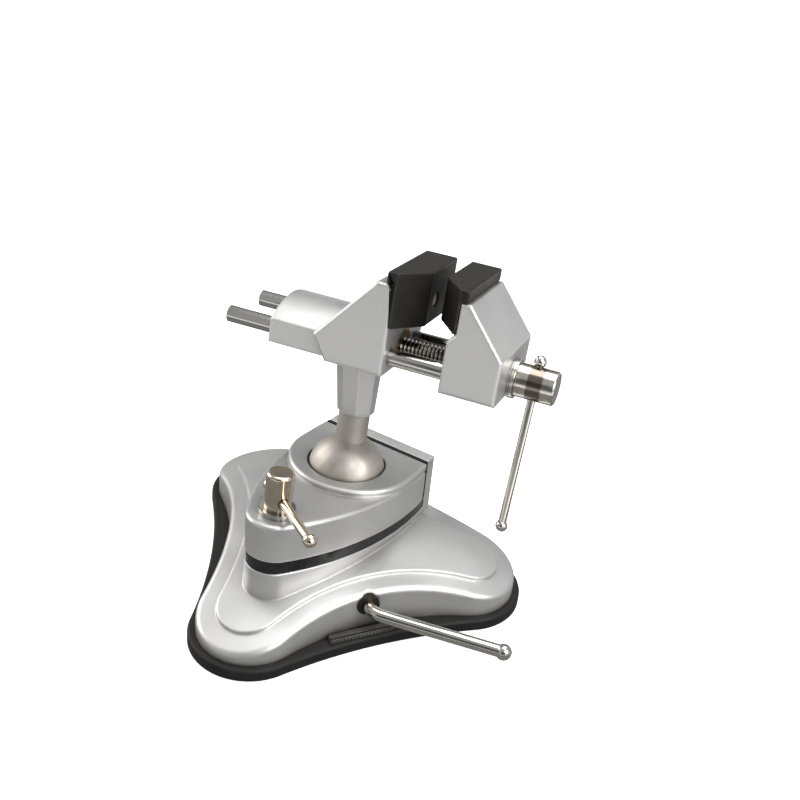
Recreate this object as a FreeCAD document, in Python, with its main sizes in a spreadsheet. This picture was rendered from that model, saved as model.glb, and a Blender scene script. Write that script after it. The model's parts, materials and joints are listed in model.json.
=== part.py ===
import FreeCAD, Part
import math
import os
import Sketcher

# Suction base vise: lobed suction foot, clamped ball joint and a small two rod vise head.
# World frame: +Z up, origin under the middle of the foot, front lobe towards -Y.
# Head frame: origin at the ball centre, rods along +X, neck along +Z.
# Shaft frame: origin on the lever shaft over the middle of the foot, shaft along +X.

Vector = FreeCAD.Vector
Rotation = FreeCAD.Rotation
Placement = FreeCAD.Placement
X_AXIS = Vector(1, 0, 0)
Y_AXIS = Vector(0, 1, 0)
Z_AXIS = Vector(0, 0, 1)

DIMS = [
    ("lobe_front", 57.0, "front lobe centre in front of the middle"),
    ("lobe_side_x", 49.0, "rear lobe centre, sideways"),
    ("lobe_side_y", 15.0, "rear lobe centre, backwards"),
    ("pad_lobe", 23.0, "rubber pad lobe radius"),
    ("pad_flank", 205.0, "rubber pad, hollow of the two front sides"),
    ("pad_back", 300.0, "rubber pad, hollow of the rear side"),
    ("pad_height", 5.0, "rubber pad thickness at the rim"),
    ("pad_skin", 2.0, "rubber pad thickness in the middle"),
    ("pad_well", 27.0, "radius of the thin middle of the pad"),
    ("tab_long", 31.0, "release tab length"),
    ("tab_deep", 3.8, "release tab thickness"),
    ("tab_rise", 1.8, "release tab height over the pad"),
    ("tab_shift", 3.0, "release tab moved towards the front lobe by"),
    ("tab_lap", 1.2, "release tab set back from the pad edge"),
    ("shell_lobe", 20.0, "base casting lobe radius"),
    ("shell_flank", 100.0, "base casting, hollow of the two front sides"),
    ("shell_back", 300.0, "base casting, hollow of the rear side"),
    ("shell_wall", 3.0, "base casting wall"),
    ("shell_edge", 2.2, "rounding of the casting's upper rim"),
    ("dome_crown", 25.0, "height of the dome over its middle"),
    ("dome_radius", 195.0, "radius of the dome"),
    ("panel_lobe", 12.5, "raised panel lobe radius"),
    ("panel_flank", 112.0, "raised panel, hollow of its sides"),
    ("panel_rise", 1.4, "raised panel height over the dome"),
    ("panel_edge", 0.9, "rounding of the raised panel"),
    ("hollow_low", 8.4, "top of the shallow hollow under the lobes"),
    ("hollow_high", 20.8, "top of the middle hollow"),
    ("hollow_round", 27.0, "radius of the middle hollow"),
    ("well_high", 24.0, "top of the yoke well"),
    ("well_round", 11.5, "radius of the yoke well"),
    ("nose_y", 45.2, "centre of the clamp nose in front of the middle"),
    ("nose_round", 10.3, "radius of the clamp nose"),
    ("flank_round", 106.0, "bulge radius of the clamp sides"),
    ("rear_half", 24.0, "half width of the clamp at the rear"),
    ("rear_y", 20.8, "rear face of the clamp plate"),
    ("seat_nose", 30.3, "pedestal top height at the nose centre"),
    ("seat_rear", 26.2, "pedestal top height at the rear face"),
    ("gasket_nose", 5.2, "gasket thickness at the nose centre"),
    ("gasket_rear", 3.8, "gasket thickness at the rear face"),
    ("gasket_back", 1.6, "gasket thickness behind the clamp plate"),
    ("gasket_inset", 0.3, "gasket edge inside the clamp plate edge"),
    ("upright_deep", 5.0, "thickness of the rear upright"),
    ("upright_top", 47.5, "height of the rear upright"),
    ("upright_step", 0.5, "rear upright narrower than the clamp plate, each side"),
    ("plate_nose", 51.0, "clamp plate top at the nose centre"),
    ("plate_rear", 44.0, "clamp plate top, carried on to the rear face"),
    ("crown_nose", 52.5, "raised crown, carried on to the nose centre"),
    ("crown_rear", 47.5, "raised crown at the rear face"),
    ("clamp_high", 54.0, "height the clamp plate is cut down from"),
    ("plate_gap", 0.15, "clamp plate over the gasket"),
    ("back_gap", 0.45, "clamp plate in front of the rear gasket"),
    ("plate_edge", 1.3, "rounding of the clamp plate edge"),
    ("crown_round", 25.0, "front radius of the raised crown round the ball"),
    ("crown_back", 4.5, "centre of that radius behind the middle"),
    ("crown_edge", 1.3, "rounding of the raised crown"),
    ("mouth_round", 15.5, "radius of the hole round the ball"),
    ("mouth_high", 51.2, "height where that hole is as wide"),
    ("mouth_low", 48.8, "height where its flare starts"),
    ("ball_high", 45.0, "ball centre height"),
    ("ball_round", 15.0, "ball radius"),
    ("ball_fit", 0.06, "ball to seat clearance"),
    ("socket_gap", 0.55, "ball to clamp plate clearance"),
    ("spot_high", 27.0, "height of the flat under the ball seat"),
    ("spot_edge", 1.0, "flat under the ball seat wider than the seat by"),
    ("spot_gap", 0.6, "gasket round that flat"),
    ("seat_round", 18.6, "outer radius of the ball seat"),
    ("seat_gap", 0.5, "ball seat to clamp plate clearance"),
    ("seat_lip", 41.0, "top of the ball seat"),
    ("turn_fit", 0.05, "radial clearance of turning and sliding fits"),
    ("play", 0.05, "end play of turning parts"),
    ("neck_round", 6.0, "neck radius"),
    ("neck_long", 25.4, "neck shoulder over the ball centre"),
    ("spigot_round", 4.4, "spigot radius inside the stem"),
    ("spigot_long", 42.0, "spigot top over the ball centre"),
    ("groove_deep", 0.9, "depth of the spigot's ring groove"),
    ("groove_high", 33.0, "ring groove over the ball centre"),
    ("groove_wide", 3.6, "ring groove width"),
    ("screw_y", 43.9, "clamp screw in front of the middle, on the plate"),
    ("screw_round", 4.0, "clamp screw thread radius"),
    ("screw_tip", 36.0, "clamp screw tip under the plate top"),
    ("screw_well", 37.5, "floor of the clamp screw hole under the plate top"),
    ("screw_room", 0.9, "clamp screw clearance in the plate and gasket"),
    ("insert_wall", 2.0, "wall of the thread insert"),
    ("insert_long", 12.0, "length of the thread insert"),
    ("insert_sunk", 0.6, "thread insert under the pedestal top"),
    ("washer_round", 6.8, "clamp washer radius"),
    ("washer_thick", 1.8, "clamp washer thickness"),
    ("screw_head", 5.1, "clamp screw head radius"),
    ("screw_top", 16.1, "clamp screw head top over the plate"),
    ("screw_edge", 1.2, "rounding of the clamp screw head"),
    ("bar_high", 5.9, "clamp bar over the plate"),
    ("bar_free", 0.25, "cross hole clearance of the two handle bars"),
    ("bar_round", 1.75, "clamp bar radius"),
    ("bar_knob", 2.6, "clamp bar knob radius"),
    ("bar_half", 18.5, "clamp bar knobs from the bar middle"),
    ("bar_shift", 10.3, "clamp bar pushed along by"),
    ("shaft_high", 15.7, "lever shaft height"),
    ("shaft_round", 2.4, "lever rod radius"),
    ("shaft_inner", 22.6, "inner end of the lever shaft from the middle"),
    ("bush_wall", 1.8, "lever bush wall"),
    ("bush_from", 37.0, "inner end of the lever bush"),
    ("bush_to", 45.6, "outer end of the lever bush"),
    ("bush_room", 0.5, "shaft clearance behind the bush"),
    ("lever_bend", 49.5, "corner of the lever from the middle"),
    ("lever_run", 23.5, "lever arm, outwards part"),
    ("lever_side", 44.0, "lever arm, sideways part"),
    ("lever_curve", 7.0, "radius of the lever bend"),
    ("lever_knob", 3.1, "lever end knob radius"),
    ("cam_round", 4.2, "eccentric radius"),
    ("cam_throw", 1.3, "eccentric throw"),
    ("cam_half", 4.0, "half thickness of the eccentric"),
    ("cam_free", 0.42, "play of the eccentric in its yoke"),
    ("pin_round", 0.9, "cam pin radius"),
    ("pin_short", 0.3, "cam pin ends below the eccentric's rim by"),
    ("rib_half", 4.6, "half width of the shaft ribs"),
    ("rib_low", 11.0, "underside of the shaft ribs"),
    ("rib_from", 12.0, "start of the shaft ribs from the middle"),
    ("rib_to", 20.5, "end of the shaft ribs from the middle"),
    ("clip_thick", 0.8, "thickness of the retaining clips"),
    ("clip_bite", 0.5, "depth of the clip grooves"),
    ("clip_wide", 2.0, "retaining clips stand out by"),
    ("yoke_wall", 1.7, "side wall of the yoke"),
    ("yoke_deep", 5.0, "half thickness of the yoke"),
    ("yoke_roof", 1.6, "roof and sill of the yoke"),
    ("stud_round", 3.2, "pull stud radius"),
    ("plate_round", 21.0, "pull plate radius"),
    ("plate_thick", 1.5, "pull plate thickness"),
    ("plate_free", 0.3, "pull plate over the rubber"),
    ("jaw_half", 20.5, "half width of the jaws"),
    ("jaw_low", 48.8, "underside of the jaws"),
    ("jaw_high", 82.6, "top of the jaws"),
    ("jaw_edge", 1.2, "rounding of the jaw side edges"),
    ("fixed_face", 14.5, "face of the fixed jaw"),
    ("fixed_top", 7.8, "rear edge of the fixed jaw top"),
    ("wedge_back", 13.3, "rear corner of the fixed jaw wedge, behind the neck"),
    ("wedge_high", 58.1, "height of that corner"),
    ("wedge_foot", 7.6, "rear corner of the fixed jaw underside, behind the neck"),
    ("sleeve_end", 31.0, "rear end of the rod sleeve, behind the neck"),
    ("sleeve_half", 18.0, "half width of the rod sleeve"),
    ("sleeve_low", 49.8, "underside of the rod sleeve"),
    ("sleeve_side", 58.6, "top of the sleeve sides"),
    ("sleeve_arch", 28.0, "radius of the sleeve roof"),
    ("stem_foot", 6.6, "half width of the stem at its foot"),
    ("stem_head", 8.4, "half width of the stem at the jaw"),
    ("stem_shift", 0.3, "stem foot in front of the neck axis"),
    ("stem_lean", 1.4, "stem top behind the neck axis"),
    ("rod_high", 54.6, "rod and lead screw height"),
    ("rod_side", 13.2, "rods from the middle"),
    ("rod_round", 3.15, "rod radius"),
    ("rod_end", 49.7, "rear end of the rods, behind the neck"),
    ("rod_seat", 12.0, "rods pressed into the movable jaw by"),
    ("lead_round", 3.9, "lead screw radius"),
    ("lead_room", 0.6, "lead screw clearance in the sleeve"),
    ("lead_end", 28.5, "rear end of the lead screw, behind the neck"),
    ("nut_wall", 2.4, "nut wall"),
    ("nut_long", 14.0, "nut length"),
    ("nut_flange", 1.4, "nut flange stands out by"),
    ("nut_rim", 1.6, "nut flange thickness"),
    ("face_gap", 21.3, "movable jaw face from the fixed jaw face"),
    ("ledge_deep", 2.7, "pad ledge depth on the movable jaw"),
    ("ledge_low", 68.0, "pad ledge height on the movable jaw"),
    ("ledge_high", 71.0, "top of the ledge slope"),
    ("move_deep", 20.8, "movable jaw thickness along the rods"),
    ("move_top", 6.6, "movable jaw top, outer edge from the face"),
    ("move_slope", 65.5, "height where the outer slope starts"),
    ("screw_clip_room", 0.6, "room round the lead screw clip"),
    ("thrust_thick", 0.8, "thrust washer thickness"),
    ("collar_round", 7.4, "lead screw collar radius"),
    ("collar_thick", 1.4, "lead screw collar thickness"),
    ("head_round", 6.3, "lead screw head radius"),
    ("head_long", 14.5, "lead screw head length"),
    ("tommy_back", 8.0, "tommy bar from the outer end of the head"),
    ("tommy_round", 1.5, "tommy bar radius"),
    ("tommy_knob", 2.3, "tommy bar knob radius"),
    ("tommy_up", 8.1, "upper knob centre over the lead screw"),
    ("tommy_down", 54.5, "lower knob centre under the lead screw"),
    ("grip_thick", 9.3, "jaw pad thickness"),
    ("grip_low", 67.0, "underside of the fixed jaw pad"),
    ("grip_lip", 4.6, "jaw pad lip over the jaw top"),
    ("grip_hook", 3.3, "fixed jaw pad lip behind its face"),
    ("grip_reach", 2.6, "movable jaw pad lip behind its face"),
    ("bevel_thick", 8.7, "front bevel of the pads, along the rods"),
    ("bevel_wide", 12.5, "front bevel of the pads, across the jaws"),
    ("pad_screw_round", 1.3, "pad screw shank radius"),
    ("pad_screw_head", 2.2, "pad screw head radius"),
    ("pad_head_deep", 1.6, "pad screw head thickness"),
    ("pad_screw_high", 75.4, "pad screw height"),
    ("pad_screw_bite", 6.0, "pad screw length inside the casting"),
    ("pad_screw_sunk", 0.4, "pad screw head below the pad face"),
    ("grub_round", 1.5, "grub screw radius"),
    ("grub_free", 0.3, "grub screw tip from the groove floor"),
    ("grub_sunk", 0.6, "grub screw below the surface"),
]

# Angles in degrees
SHAFT_TURN = -42.0
LEVER_DROP = -6.0
HEAD_TURN = 10.8
HEAD_TILT = -10.3
TOMMY_LEAN = -7.7
BAR_TURN = -31.3
OCTAGON_HALF_TAN = math.tan(math.radians(22.5))

# An edge counts as in front of a face when part of it is this far off
EDGE_SLACK = 1.0

# Clip grooves are wider than their clip by this many end plays
CLIP_PLAYS = 4.0


class Size:
    """A length that knows its number and its formula in the spreadsheet."""

    def __init__(self, value, text):
        self.value = value
        self.text = text

    def __add__(self, other):
        other = size(other)
        return Size(self.value + other.value, "(%s + %s)" % (self.text, other.text))

    def __radd__(self, other):
        return size(other) + self

    def __sub__(self, other):
        other = size(other)
        return Size(self.value - other.value, "(%s - %s)" % (self.text, other.text))

    def __rsub__(self, other):
        return size(other) - self

    def __mul__(self, other):
        other = size(other)
        return Size(self.value * other.value, "%s * %s" % (self.text, other.text))

    def __truediv__(self, other):
        other = size(other)
        return Size(self.value / other.value, "(%s) / (%s)" % (self.text, other.text))

    def __neg__(self):
        return Size(-self.value, "(-%s)" % self.text)


def size(thing):
    if isinstance(thing, Size):
        return thing
    return Size(float(thing), "(%r)" % float(thing))


def root(thing):
    return Size(math.sqrt(thing.value), "sqrt(%s)" % thing.text)


class Sizes:
    """Every driving dimension by name."""


doc = FreeCAD.newDocument("SuctionVise")
sheet = doc.addObject("Spreadsheet::Sheet", "Dims")
d = Sizes()
for row, (alias, number, meaning) in enumerate(DIMS, start=1):
    sheet.set("A%d" % row, meaning)
    sheet.set("B%d" % row, repr(number))
    sheet.setAlias("B%d" % row, alias)
    setattr(d, alias, Size(number, "Dims." + alias))
doc.recompute()

d.screw_base = d.plate_nose + (d.plate_rear - d.plate_nose) * (d.nose_y - d.screw_y) / (d.nose_y + d.rear_y)
SCREW_LEAN = math.degrees(math.atan2(
    (d.plate_nose - d.plate_rear).value, (d.nose_y + d.rear_y).value,
))
SCREW = Placement(Vector(0, -d.screw_y.value, d.screw_base.value), Rotation(X_AXIS, -SCREW_LEAN))
HEAD = Placement(
    Z_AXIS * d.ball_high.value,
    Rotation(Z_AXIS, HEAD_TURN) * Rotation(X_AXIS, HEAD_TILT),
)
SHAFT = Placement(Z_AXIS * d.shaft_high.value, Rotation(Z_AXIS, SHAFT_TURN))
LEAD = HEAD * Placement(Z_AXIS * d.rod_high.value, Rotation(X_AXIS, TOMMY_LEAN))

# Sizes that follow from the driving ones
d.stem_low = d.neck_long + d.play
d.bore_fit = d.shaft_round + d.turn_fit
d.rod_bore = d.rod_round + d.turn_fit
d.lead_bore = d.lead_round + d.turn_fit
d.nut_round = d.lead_bore + d.nut_wall
d.move_near = d.fixed_face + d.face_gap
d.move_face = d.move_near + d.move_deep
d.ledge_face = d.move_near + d.ledge_deep
d.bush_round = d.bore_fit + d.bush_wall
d.insert_round = d.screw_round + d.turn_fit + d.insert_wall
d.clip_outer = d.shaft_round + d.clip_wide
d.screw_clip_outer = d.lead_round + d.clip_wide
d.collar_start = d.move_face + d.play + d.thrust_thick + d.play
d.head_end = d.collar_start + d.collar_thick + d.head_long
d.tommy_x = d.head_end - d.tommy_back
d.yoke_window = d.cam_round + d.cam_free
d.yoke_half = d.cam_round + d.cam_throw + d.cam_free + d.yoke_wall
d.clip_room = d.clip_thick + d.play * CLIP_PLAYS
d.tall = d.clamp_high - d.hollow_low

nodes = []


def body(label, place=None):
    made = doc.addObject("PartDesign::Body", label)
    made.Label = label
    if place is not None:
        made.Placement = place
    nodes.append(made)
    return made


def sketch(owner, role, offset=0.0, turn=0.0, tilt=0.0):
    """A sketch on one of the body's origin planes, moved along its normal, turned and tilted."""
    made = owner.newObject("Sketcher::SketchObject", "%s_sketch_%d" % (owner.Label, len(owner.Group)))
    plane = [f for f in owner.Origin.OriginFeatures if f.Role == role][0]
    made.AttachmentSupport = [(plane, "")]
    made.MapMode = "FlatFace"
    lift = size(offset)
    angles = Rotation(Z_AXIS, turn) * Rotation(X_AXIS, tilt)
    made.AttachmentOffset = Placement(Z_AXIS * lift.value, angles)
    made.setExpression("AttachmentOffset.Base.z", lift.text)
    return made


def hold(made, kind, index, wanted):
    number = made.addConstraint(Sketcher.Constraint(kind, index, wanted.value))
    made.setExpression("Constraints[%d]" % number, wanted.text)


def pin_point(made, index, which, x, y):
    """Hold an end or centre of a piece of sketch geometry at x, y, where None is free."""
    for kind, axis, wanted in (("DistanceX", -2, x), ("DistanceY", -1, y)):
        if wanted is None:
            continue
        wanted = size(wanted)
        if wanted.value == 0:
            made.addConstraint(Sketcher.Constraint("PointOnObject", index, which, axis))
            continue
        rule = Sketcher.Constraint(kind, -1, 1, index, which, wanted.value)
        number = made.addConstraint(rule)
        made.setExpression("Constraints[%d]" % number, wanted.text)


def circle(made, x, y, radius):
    radius = size(radius)
    centre = Vector(size(x).value, size(y).value, 0)
    index = made.addGeometry(Part.Circle(centre, Z_AXIS, radius.value))
    pin_point(made, index, 3, x, y)
    hold(made, "Radius", index, radius)


def outline(made, points, arcs=None):
    """A closed outline through points, straight but for the sides in arcs.

    A point is x, y and optionally which of them is held. A side in arcs is
    centre x, centre y, radius and whether it runs counterclockwise.
    """
    arcs = arcs or {}
    corners = [Vector(size(p[0]).value, size(p[1]).value, 0) for p in points]
    count = len(corners)
    ends = []
    for i, here in enumerate(corners):
        there = corners[(i + 1) % count]
        if i not in arcs:
            ends.append((made.addGeometry(Part.LineSegment(here, there)), 1, 2))
            continue
        cx, cy, radius, leftwards = arcs[i]
        centre = Vector(size(cx).value, size(cy).value, 0)
        low, high = (here, there) if leftwards else (there, here)
        round_side = Part.ArcOfCircle(
            Part.Circle(centre, Z_AXIS, radius.value),
            math.atan2(low.y - centre.y, low.x - centre.x),
            math.atan2(high.y - centre.y, high.x - centre.x),
        )
        index = made.addGeometry(round_side)
        pin_point(made, index, 3, cx, cy)
        hold(made, "Radius", index, radius)
        ends.append((index, 1, 2) if leftwards else (index, 2, 1))
    for i in range(count):
        here, there = ends[i], ends[(i + 1) % count]
        made.addConstraint(Sketcher.Constraint("Coincident", here[0], here[2], there[0], there[1]))
    for i, point in enumerate(points):
        held = point[2] if len(point) > 2 else "xy"
        x = point[0] if "x" in held else None
        y = point[1] if "y" in held else None
        pin_point(made, ends[i][0], ends[i][1], x, y)


def box(made, left, right, low, high):
    outline(made, [(left, low), (right, low), (right, high), (left, high)])


def lobed(made, lobe, flank, back):
    """Three round lobes joined by three hollow sides, the same on both sides of the Y axis."""
    centres = [
        (size(0), -d.lobe_front),
        (d.lobe_side_x, d.lobe_side_y),
        (-d.lobe_side_x, d.lobe_side_y),
    ]
    spots = [(x.value, y.value) for x, y in centres]
    hollows = [flank, back, flank]
    sides = []
    for i in range(3):
        (ax, ay), (bx, by) = spots[i], spots[(i + 1) % 3]
        half = math.hypot(bx - ax, by - ay) / 2
        reach = math.sqrt((hollows[i].value + lobe.value) ** 2 - half ** 2)
        step = reach / (2 * half)
        sides.append(((ax + bx) / 2 + (by - ay) * step, (ay + by) / 2 - (bx - ax) * step))
    first = made.GeometryCount
    for i in range(3):
        cx, cy = spots[i]
        (px, py), (qx, qy) = sides[(i + 2) % 3], sides[i]
        nx, ny = spots[(i + 1) % 3]
        lobe_arc = Part.Circle(Vector(cx, cy, 0), Z_AXIS, lobe.value)
        side_arc = Part.Circle(Vector(qx, qy, 0), Z_AXIS, hollows[i].value)
        made.addGeometry(Part.ArcOfCircle(
            lobe_arc, math.atan2(py - cy, px - cx), math.atan2(qy - cy, qx - cx)
        ))
        made.addGeometry(Part.ArcOfCircle(
            side_arc, math.atan2(ny - qy, nx - qx), math.atan2(cy - qy, cx - qx)
        ))
    for i in range(3):
        here, side, after = first + 2 * i, first + 2 * i + 1, first + (2 * i + 2) % 6
        made.addConstraint(Sketcher.Constraint("Tangent", here, 2, side, 2))
        made.addConstraint(Sketcher.Constraint("Tangent", side, 1, after, 1))
        pin_point(made, here, 3, *centres[i])
        hold(made, "Radius", here, lobe)
        hold(made, "Radius", side, hollows[i])


def arrow(made, rear, inset):
    """The clamp outline: round nose, bulging sides, straight rear."""
    nose = d.nose_round - inset
    flank = d.flank_round - inset
    half = d.rear_half - inset
    nose_y = -d.nose_y.value
    # The flank circle passes through the rear corner and holds the nose circle inside it.
    gap = flank.value - nose.value
    dx, dy = half.value, rear.value - nose_y
    span = math.hypot(dx, dy)
    along = (gap ** 2 - flank.value ** 2 + span ** 2) / (2 * span)
    across = math.sqrt(gap ** 2 - along ** 2)
    cx = (along * dx - across * dy) / span
    cy = nose_y + (along * dy + across * dx) / span
    touch = math.atan2(nose_y - cy, -cx)
    corner = math.atan2(rear.value - cy, half.value - cx)
    right = Part.Circle(Vector(cx, cy, 0), Z_AXIS, flank.value)
    left = Part.Circle(Vector(-cx, cy, 0), Z_AXIS, flank.value)
    tip = Part.Circle(Vector(0, nose_y, 0), Z_AXIS, nose.value)
    a = made.addGeometry(Part.ArcOfCircle(tip, math.pi - touch, 2 * math.pi + touch))
    b = made.addGeometry(Part.ArcOfCircle(right, touch, corner))
    c = made.addGeometry(Part.ArcOfCircle(left, math.pi - corner, math.pi - touch))
    e = made.addGeometry(Part.LineSegment(Vector(dx, rear.value, 0), Vector(-dx, rear.value, 0)))
    made.addConstraint(Sketcher.Constraint("Tangent", a, 2, b, 1))
    made.addConstraint(Sketcher.Constraint("Tangent", c, 2, a, 1))
    made.addConstraint(Sketcher.Constraint("Coincident", b, 2, e, 1))
    made.addConstraint(Sketcher.Constraint("Coincident", e, 2, c, 1))
    pin_point(made, a, 3, 0, -d.nose_y)
    pin_point(made, e, 1, half, rear)
    pin_point(made, e, 2, -half, rear)
    hold(made, "Radius", a, nose)
    hold(made, "Radius", b, flank)
    hold(made, "Radius", c, flank)


def feature(owner, kind, **settings):
    made = owner.newObject("PartDesign::" + kind, "%s_%s_%d" % (owner.Label, kind, len(owner.Group)))
    for name, value in settings.items():
        setattr(made, name, value)
    return made


def pad(owner, profile, length, **settings):
    made = feature(owner, "Pad", Profile=profile, Length=size(length).value, **settings)
    made.setExpression("Length", size(length).text)
    doc.recompute()


def pocket(owner, profile, length, **settings):
    before = owner.Shape.Volume
    made = feature(owner, "Pocket", Profile=profile, Length=size(length).value, **settings)
    made.setExpression("Length", size(length).text)
    doc.recompute()
    if owner.Shape.Volume >= before:
        raise RuntimeError("the pocket %s cuts nothing" % made.Name)


def turned(owner, points, arcs=None, axis="V_Axis", kind="Revolution"):
    """Turn an outline of the XZ plane about its upright or level axis."""
    made = sketch(owner, "XZ_Plane")
    outline(made, points, arcs)
    feature(owner, kind, Profile=made, ReferenceAxis=(made, [axis]), Angle=360.0)
    doc.recompute()


def tube(owner, inner, outer, low, high, axis="V_Axis", kind="Revolution"):
    """A ring or, with inner zero, a disc about the upright or level axis."""
    corners = [(inner, low), (outer, low), (outer, high), (inner, high)]
    if axis == "H_Axis":
        corners = [(b, a) for a, b in corners]
    turned(owner, corners, axis=axis, kind=kind)


def ball(owner, x, radius):
    """A ball on the level axis."""
    made = sketch(owner, "XZ_Plane")
    middle = Part.Circle(Vector(size(x).value, 0, 0), Z_AXIS, radius.value)
    arc = made.addGeometry(Part.ArcOfCircle(middle, 0, math.pi))
    start, end = size(x).value + radius.value, size(x).value - radius.value
    line = made.addGeometry(Part.LineSegment(Vector(end, 0, 0), Vector(start, 0, 0)))
    made.addConstraint(Sketcher.Constraint("Coincident", arc, 2, line, 1))
    made.addConstraint(Sketcher.Constraint("Coincident", line, 2, arc, 1))
    pin_point(made, arc, 3, x, 0)
    hold(made, "Radius", arc, radius)
    made.addConstraint(Sketcher.Constraint("PointOnObject", arc, 1, -1))
    made.addConstraint(Sketcher.Constraint("PointOnObject", arc, 2, -1))
    feature(owner, "Revolution", Profile=made, ReferenceAxis=(made, ["H_Axis"]), Angle=360.0)
    doc.recompute()


def bore(owner, role, x, y, radius, start, length, turn=0.0):
    """A round hole along the plane's normal from start."""
    made = sketch(owner, role, start, turn)
    circle(made, x, y, radius)
    pocket(owner, made, length, Reversed=True)


def bar(owner, role, x, y, radius, start, length):
    """A round bar along the plane's normal from start."""
    made = sketch(owner, role, start)
    circle(made, x, y, radius)
    pad(owner, made, length)


def rounded(owner, radius, test):
    """Round the edges of the body's last feature that pass the test."""
    tip = owner.Tip
    names = ["Edge%d" % i for i, edge in enumerate(tip.Shape.Edges, start=1) if test(edge)]
    made = feature(owner, "Fillet", Base=(tip, names), Radius=radius.value)
    made.setExpression("Radius", radius.text)
    doc.recompute()


def at_height(edge, height, slack=0.02):
    """Whether an edge lies level at a height in its body's own frame."""
    return abs(edge.BoundBox.ZMin - height) < slack and abs(edge.BoundBox.ZMax - height) < slack


def on_slope(edge, nose, rear, slack=0.02):
    """Whether an edge lies on a slope of the clamp."""
    spots = edge.discretize(5)
    return all(abs(p.z - slope_height(p.y, nose, rear).value) < slack for p in spots)


def is_outer(edge):
    """Whether an edge of the clamp comes in front of its rear face."""
    spots = edge.discretize(5)
    return min(p.y for p in spots) < d.rear_y.value - EDGE_SLACK


def dome_cut(owner, crown):
    """Cut away what stands over a dome of revolution."""
    far = d.lobe_front + d.shell_lobe + d.pad_lobe
    centre = crown - d.dome_radius
    rim = centre + root(d.dome_radius * d.dome_radius - far * far)
    tall = crown + d.upright_top
    points = [(size(0), crown, "x"), (far, rim, "x"), (far, tall), (size(0), tall)]
    turned(owner, points, {0: (size(0), centre, d.dome_radius, False)}, kind="Groove")


def slope_height(y, nose, rear):
    """Height at y of a slope given over the nose centre and at the rear face."""
    return nose + (rear - nose) * (y + d.nose_y) / (d.nose_y + d.rear_y)


def slope_cut(owner, front, back, nose, rear, limit):
    """Cut between a slope and a level, across the clamp."""
    made = sketch(owner, "YZ_Plane")
    outline(made, [
        (front, slope_height(front, nose, rear)),
        (back, slope_height(back, nose, rear)),
        (back, limit),
        (front, limit),
    ])
    pocket(owner, made, d.lobe_front + d.lobe_front, Midplane=True)


def make_pad():
    """Rubber suction pad with a thin middle and a release tab on one side."""
    made = body("suction_pad")
    rim = sketch(made, "XY_Plane")
    lobed(rim, d.pad_lobe, d.pad_flank, d.pad_back)
    pad(made, rim, d.pad_height)
    well = sketch(made, "XY_Plane", d.pad_height)
    circle(well, 0, 0, d.pad_well)
    pocket(made, well, d.pad_height - d.pad_skin)
    # The middle of the right front side lies this far out, across the line of its two lobes.
    run, rise = d.lobe_side_x, d.lobe_side_y + d.lobe_front
    span = root(run * run + rise * rise)
    turn = math.degrees(math.atan2(rise.value, run.value)) - 90.0
    middle = (d.lobe_front - d.lobe_side_y) * run / (span * 2.0) + run * rise / (span * 2.0)
    reach = root((d.pad_flank + d.pad_lobe) * (d.pad_flank + d.pad_lobe) - span * span / 4.0)
    face = middle + reach - d.pad_flank - d.tab_lap
    along = (run * run + rise * rise) / (span * 2.0) - d.lobe_front * rise / span
    tab = sketch(made, "XY_Plane", d.pad_height, turn)
    centre = along - d.tab_shift
    half = d.tab_long / 2.0
    box(tab, face - d.tab_deep, face, centre - half, centre + half)
    pad(made, tab, d.tab_rise)


def screw_bore(owner, radius, start):
    """A hole on the clamp screw's leaning axis, from a distance over the plate's top upwards."""
    lean = math.radians(SCREW_LEAN)
    made = sketch(owner, "XY_Plane", d.screw_base + start * math.cos(lean), tilt=-SCREW_LEAN)
    offset = made.AttachmentOffset
    offset.Base.y = (start * math.sin(lean) - d.screw_y).value
    made.AttachmentOffset = offset
    made.setExpression("AttachmentOffset.Base.y", (start * math.sin(lean) - d.screw_y).text)
    circle(made, 0, 0, radius)
    pocket(owner, made, d.clamp_high, Reversed=True)


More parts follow.
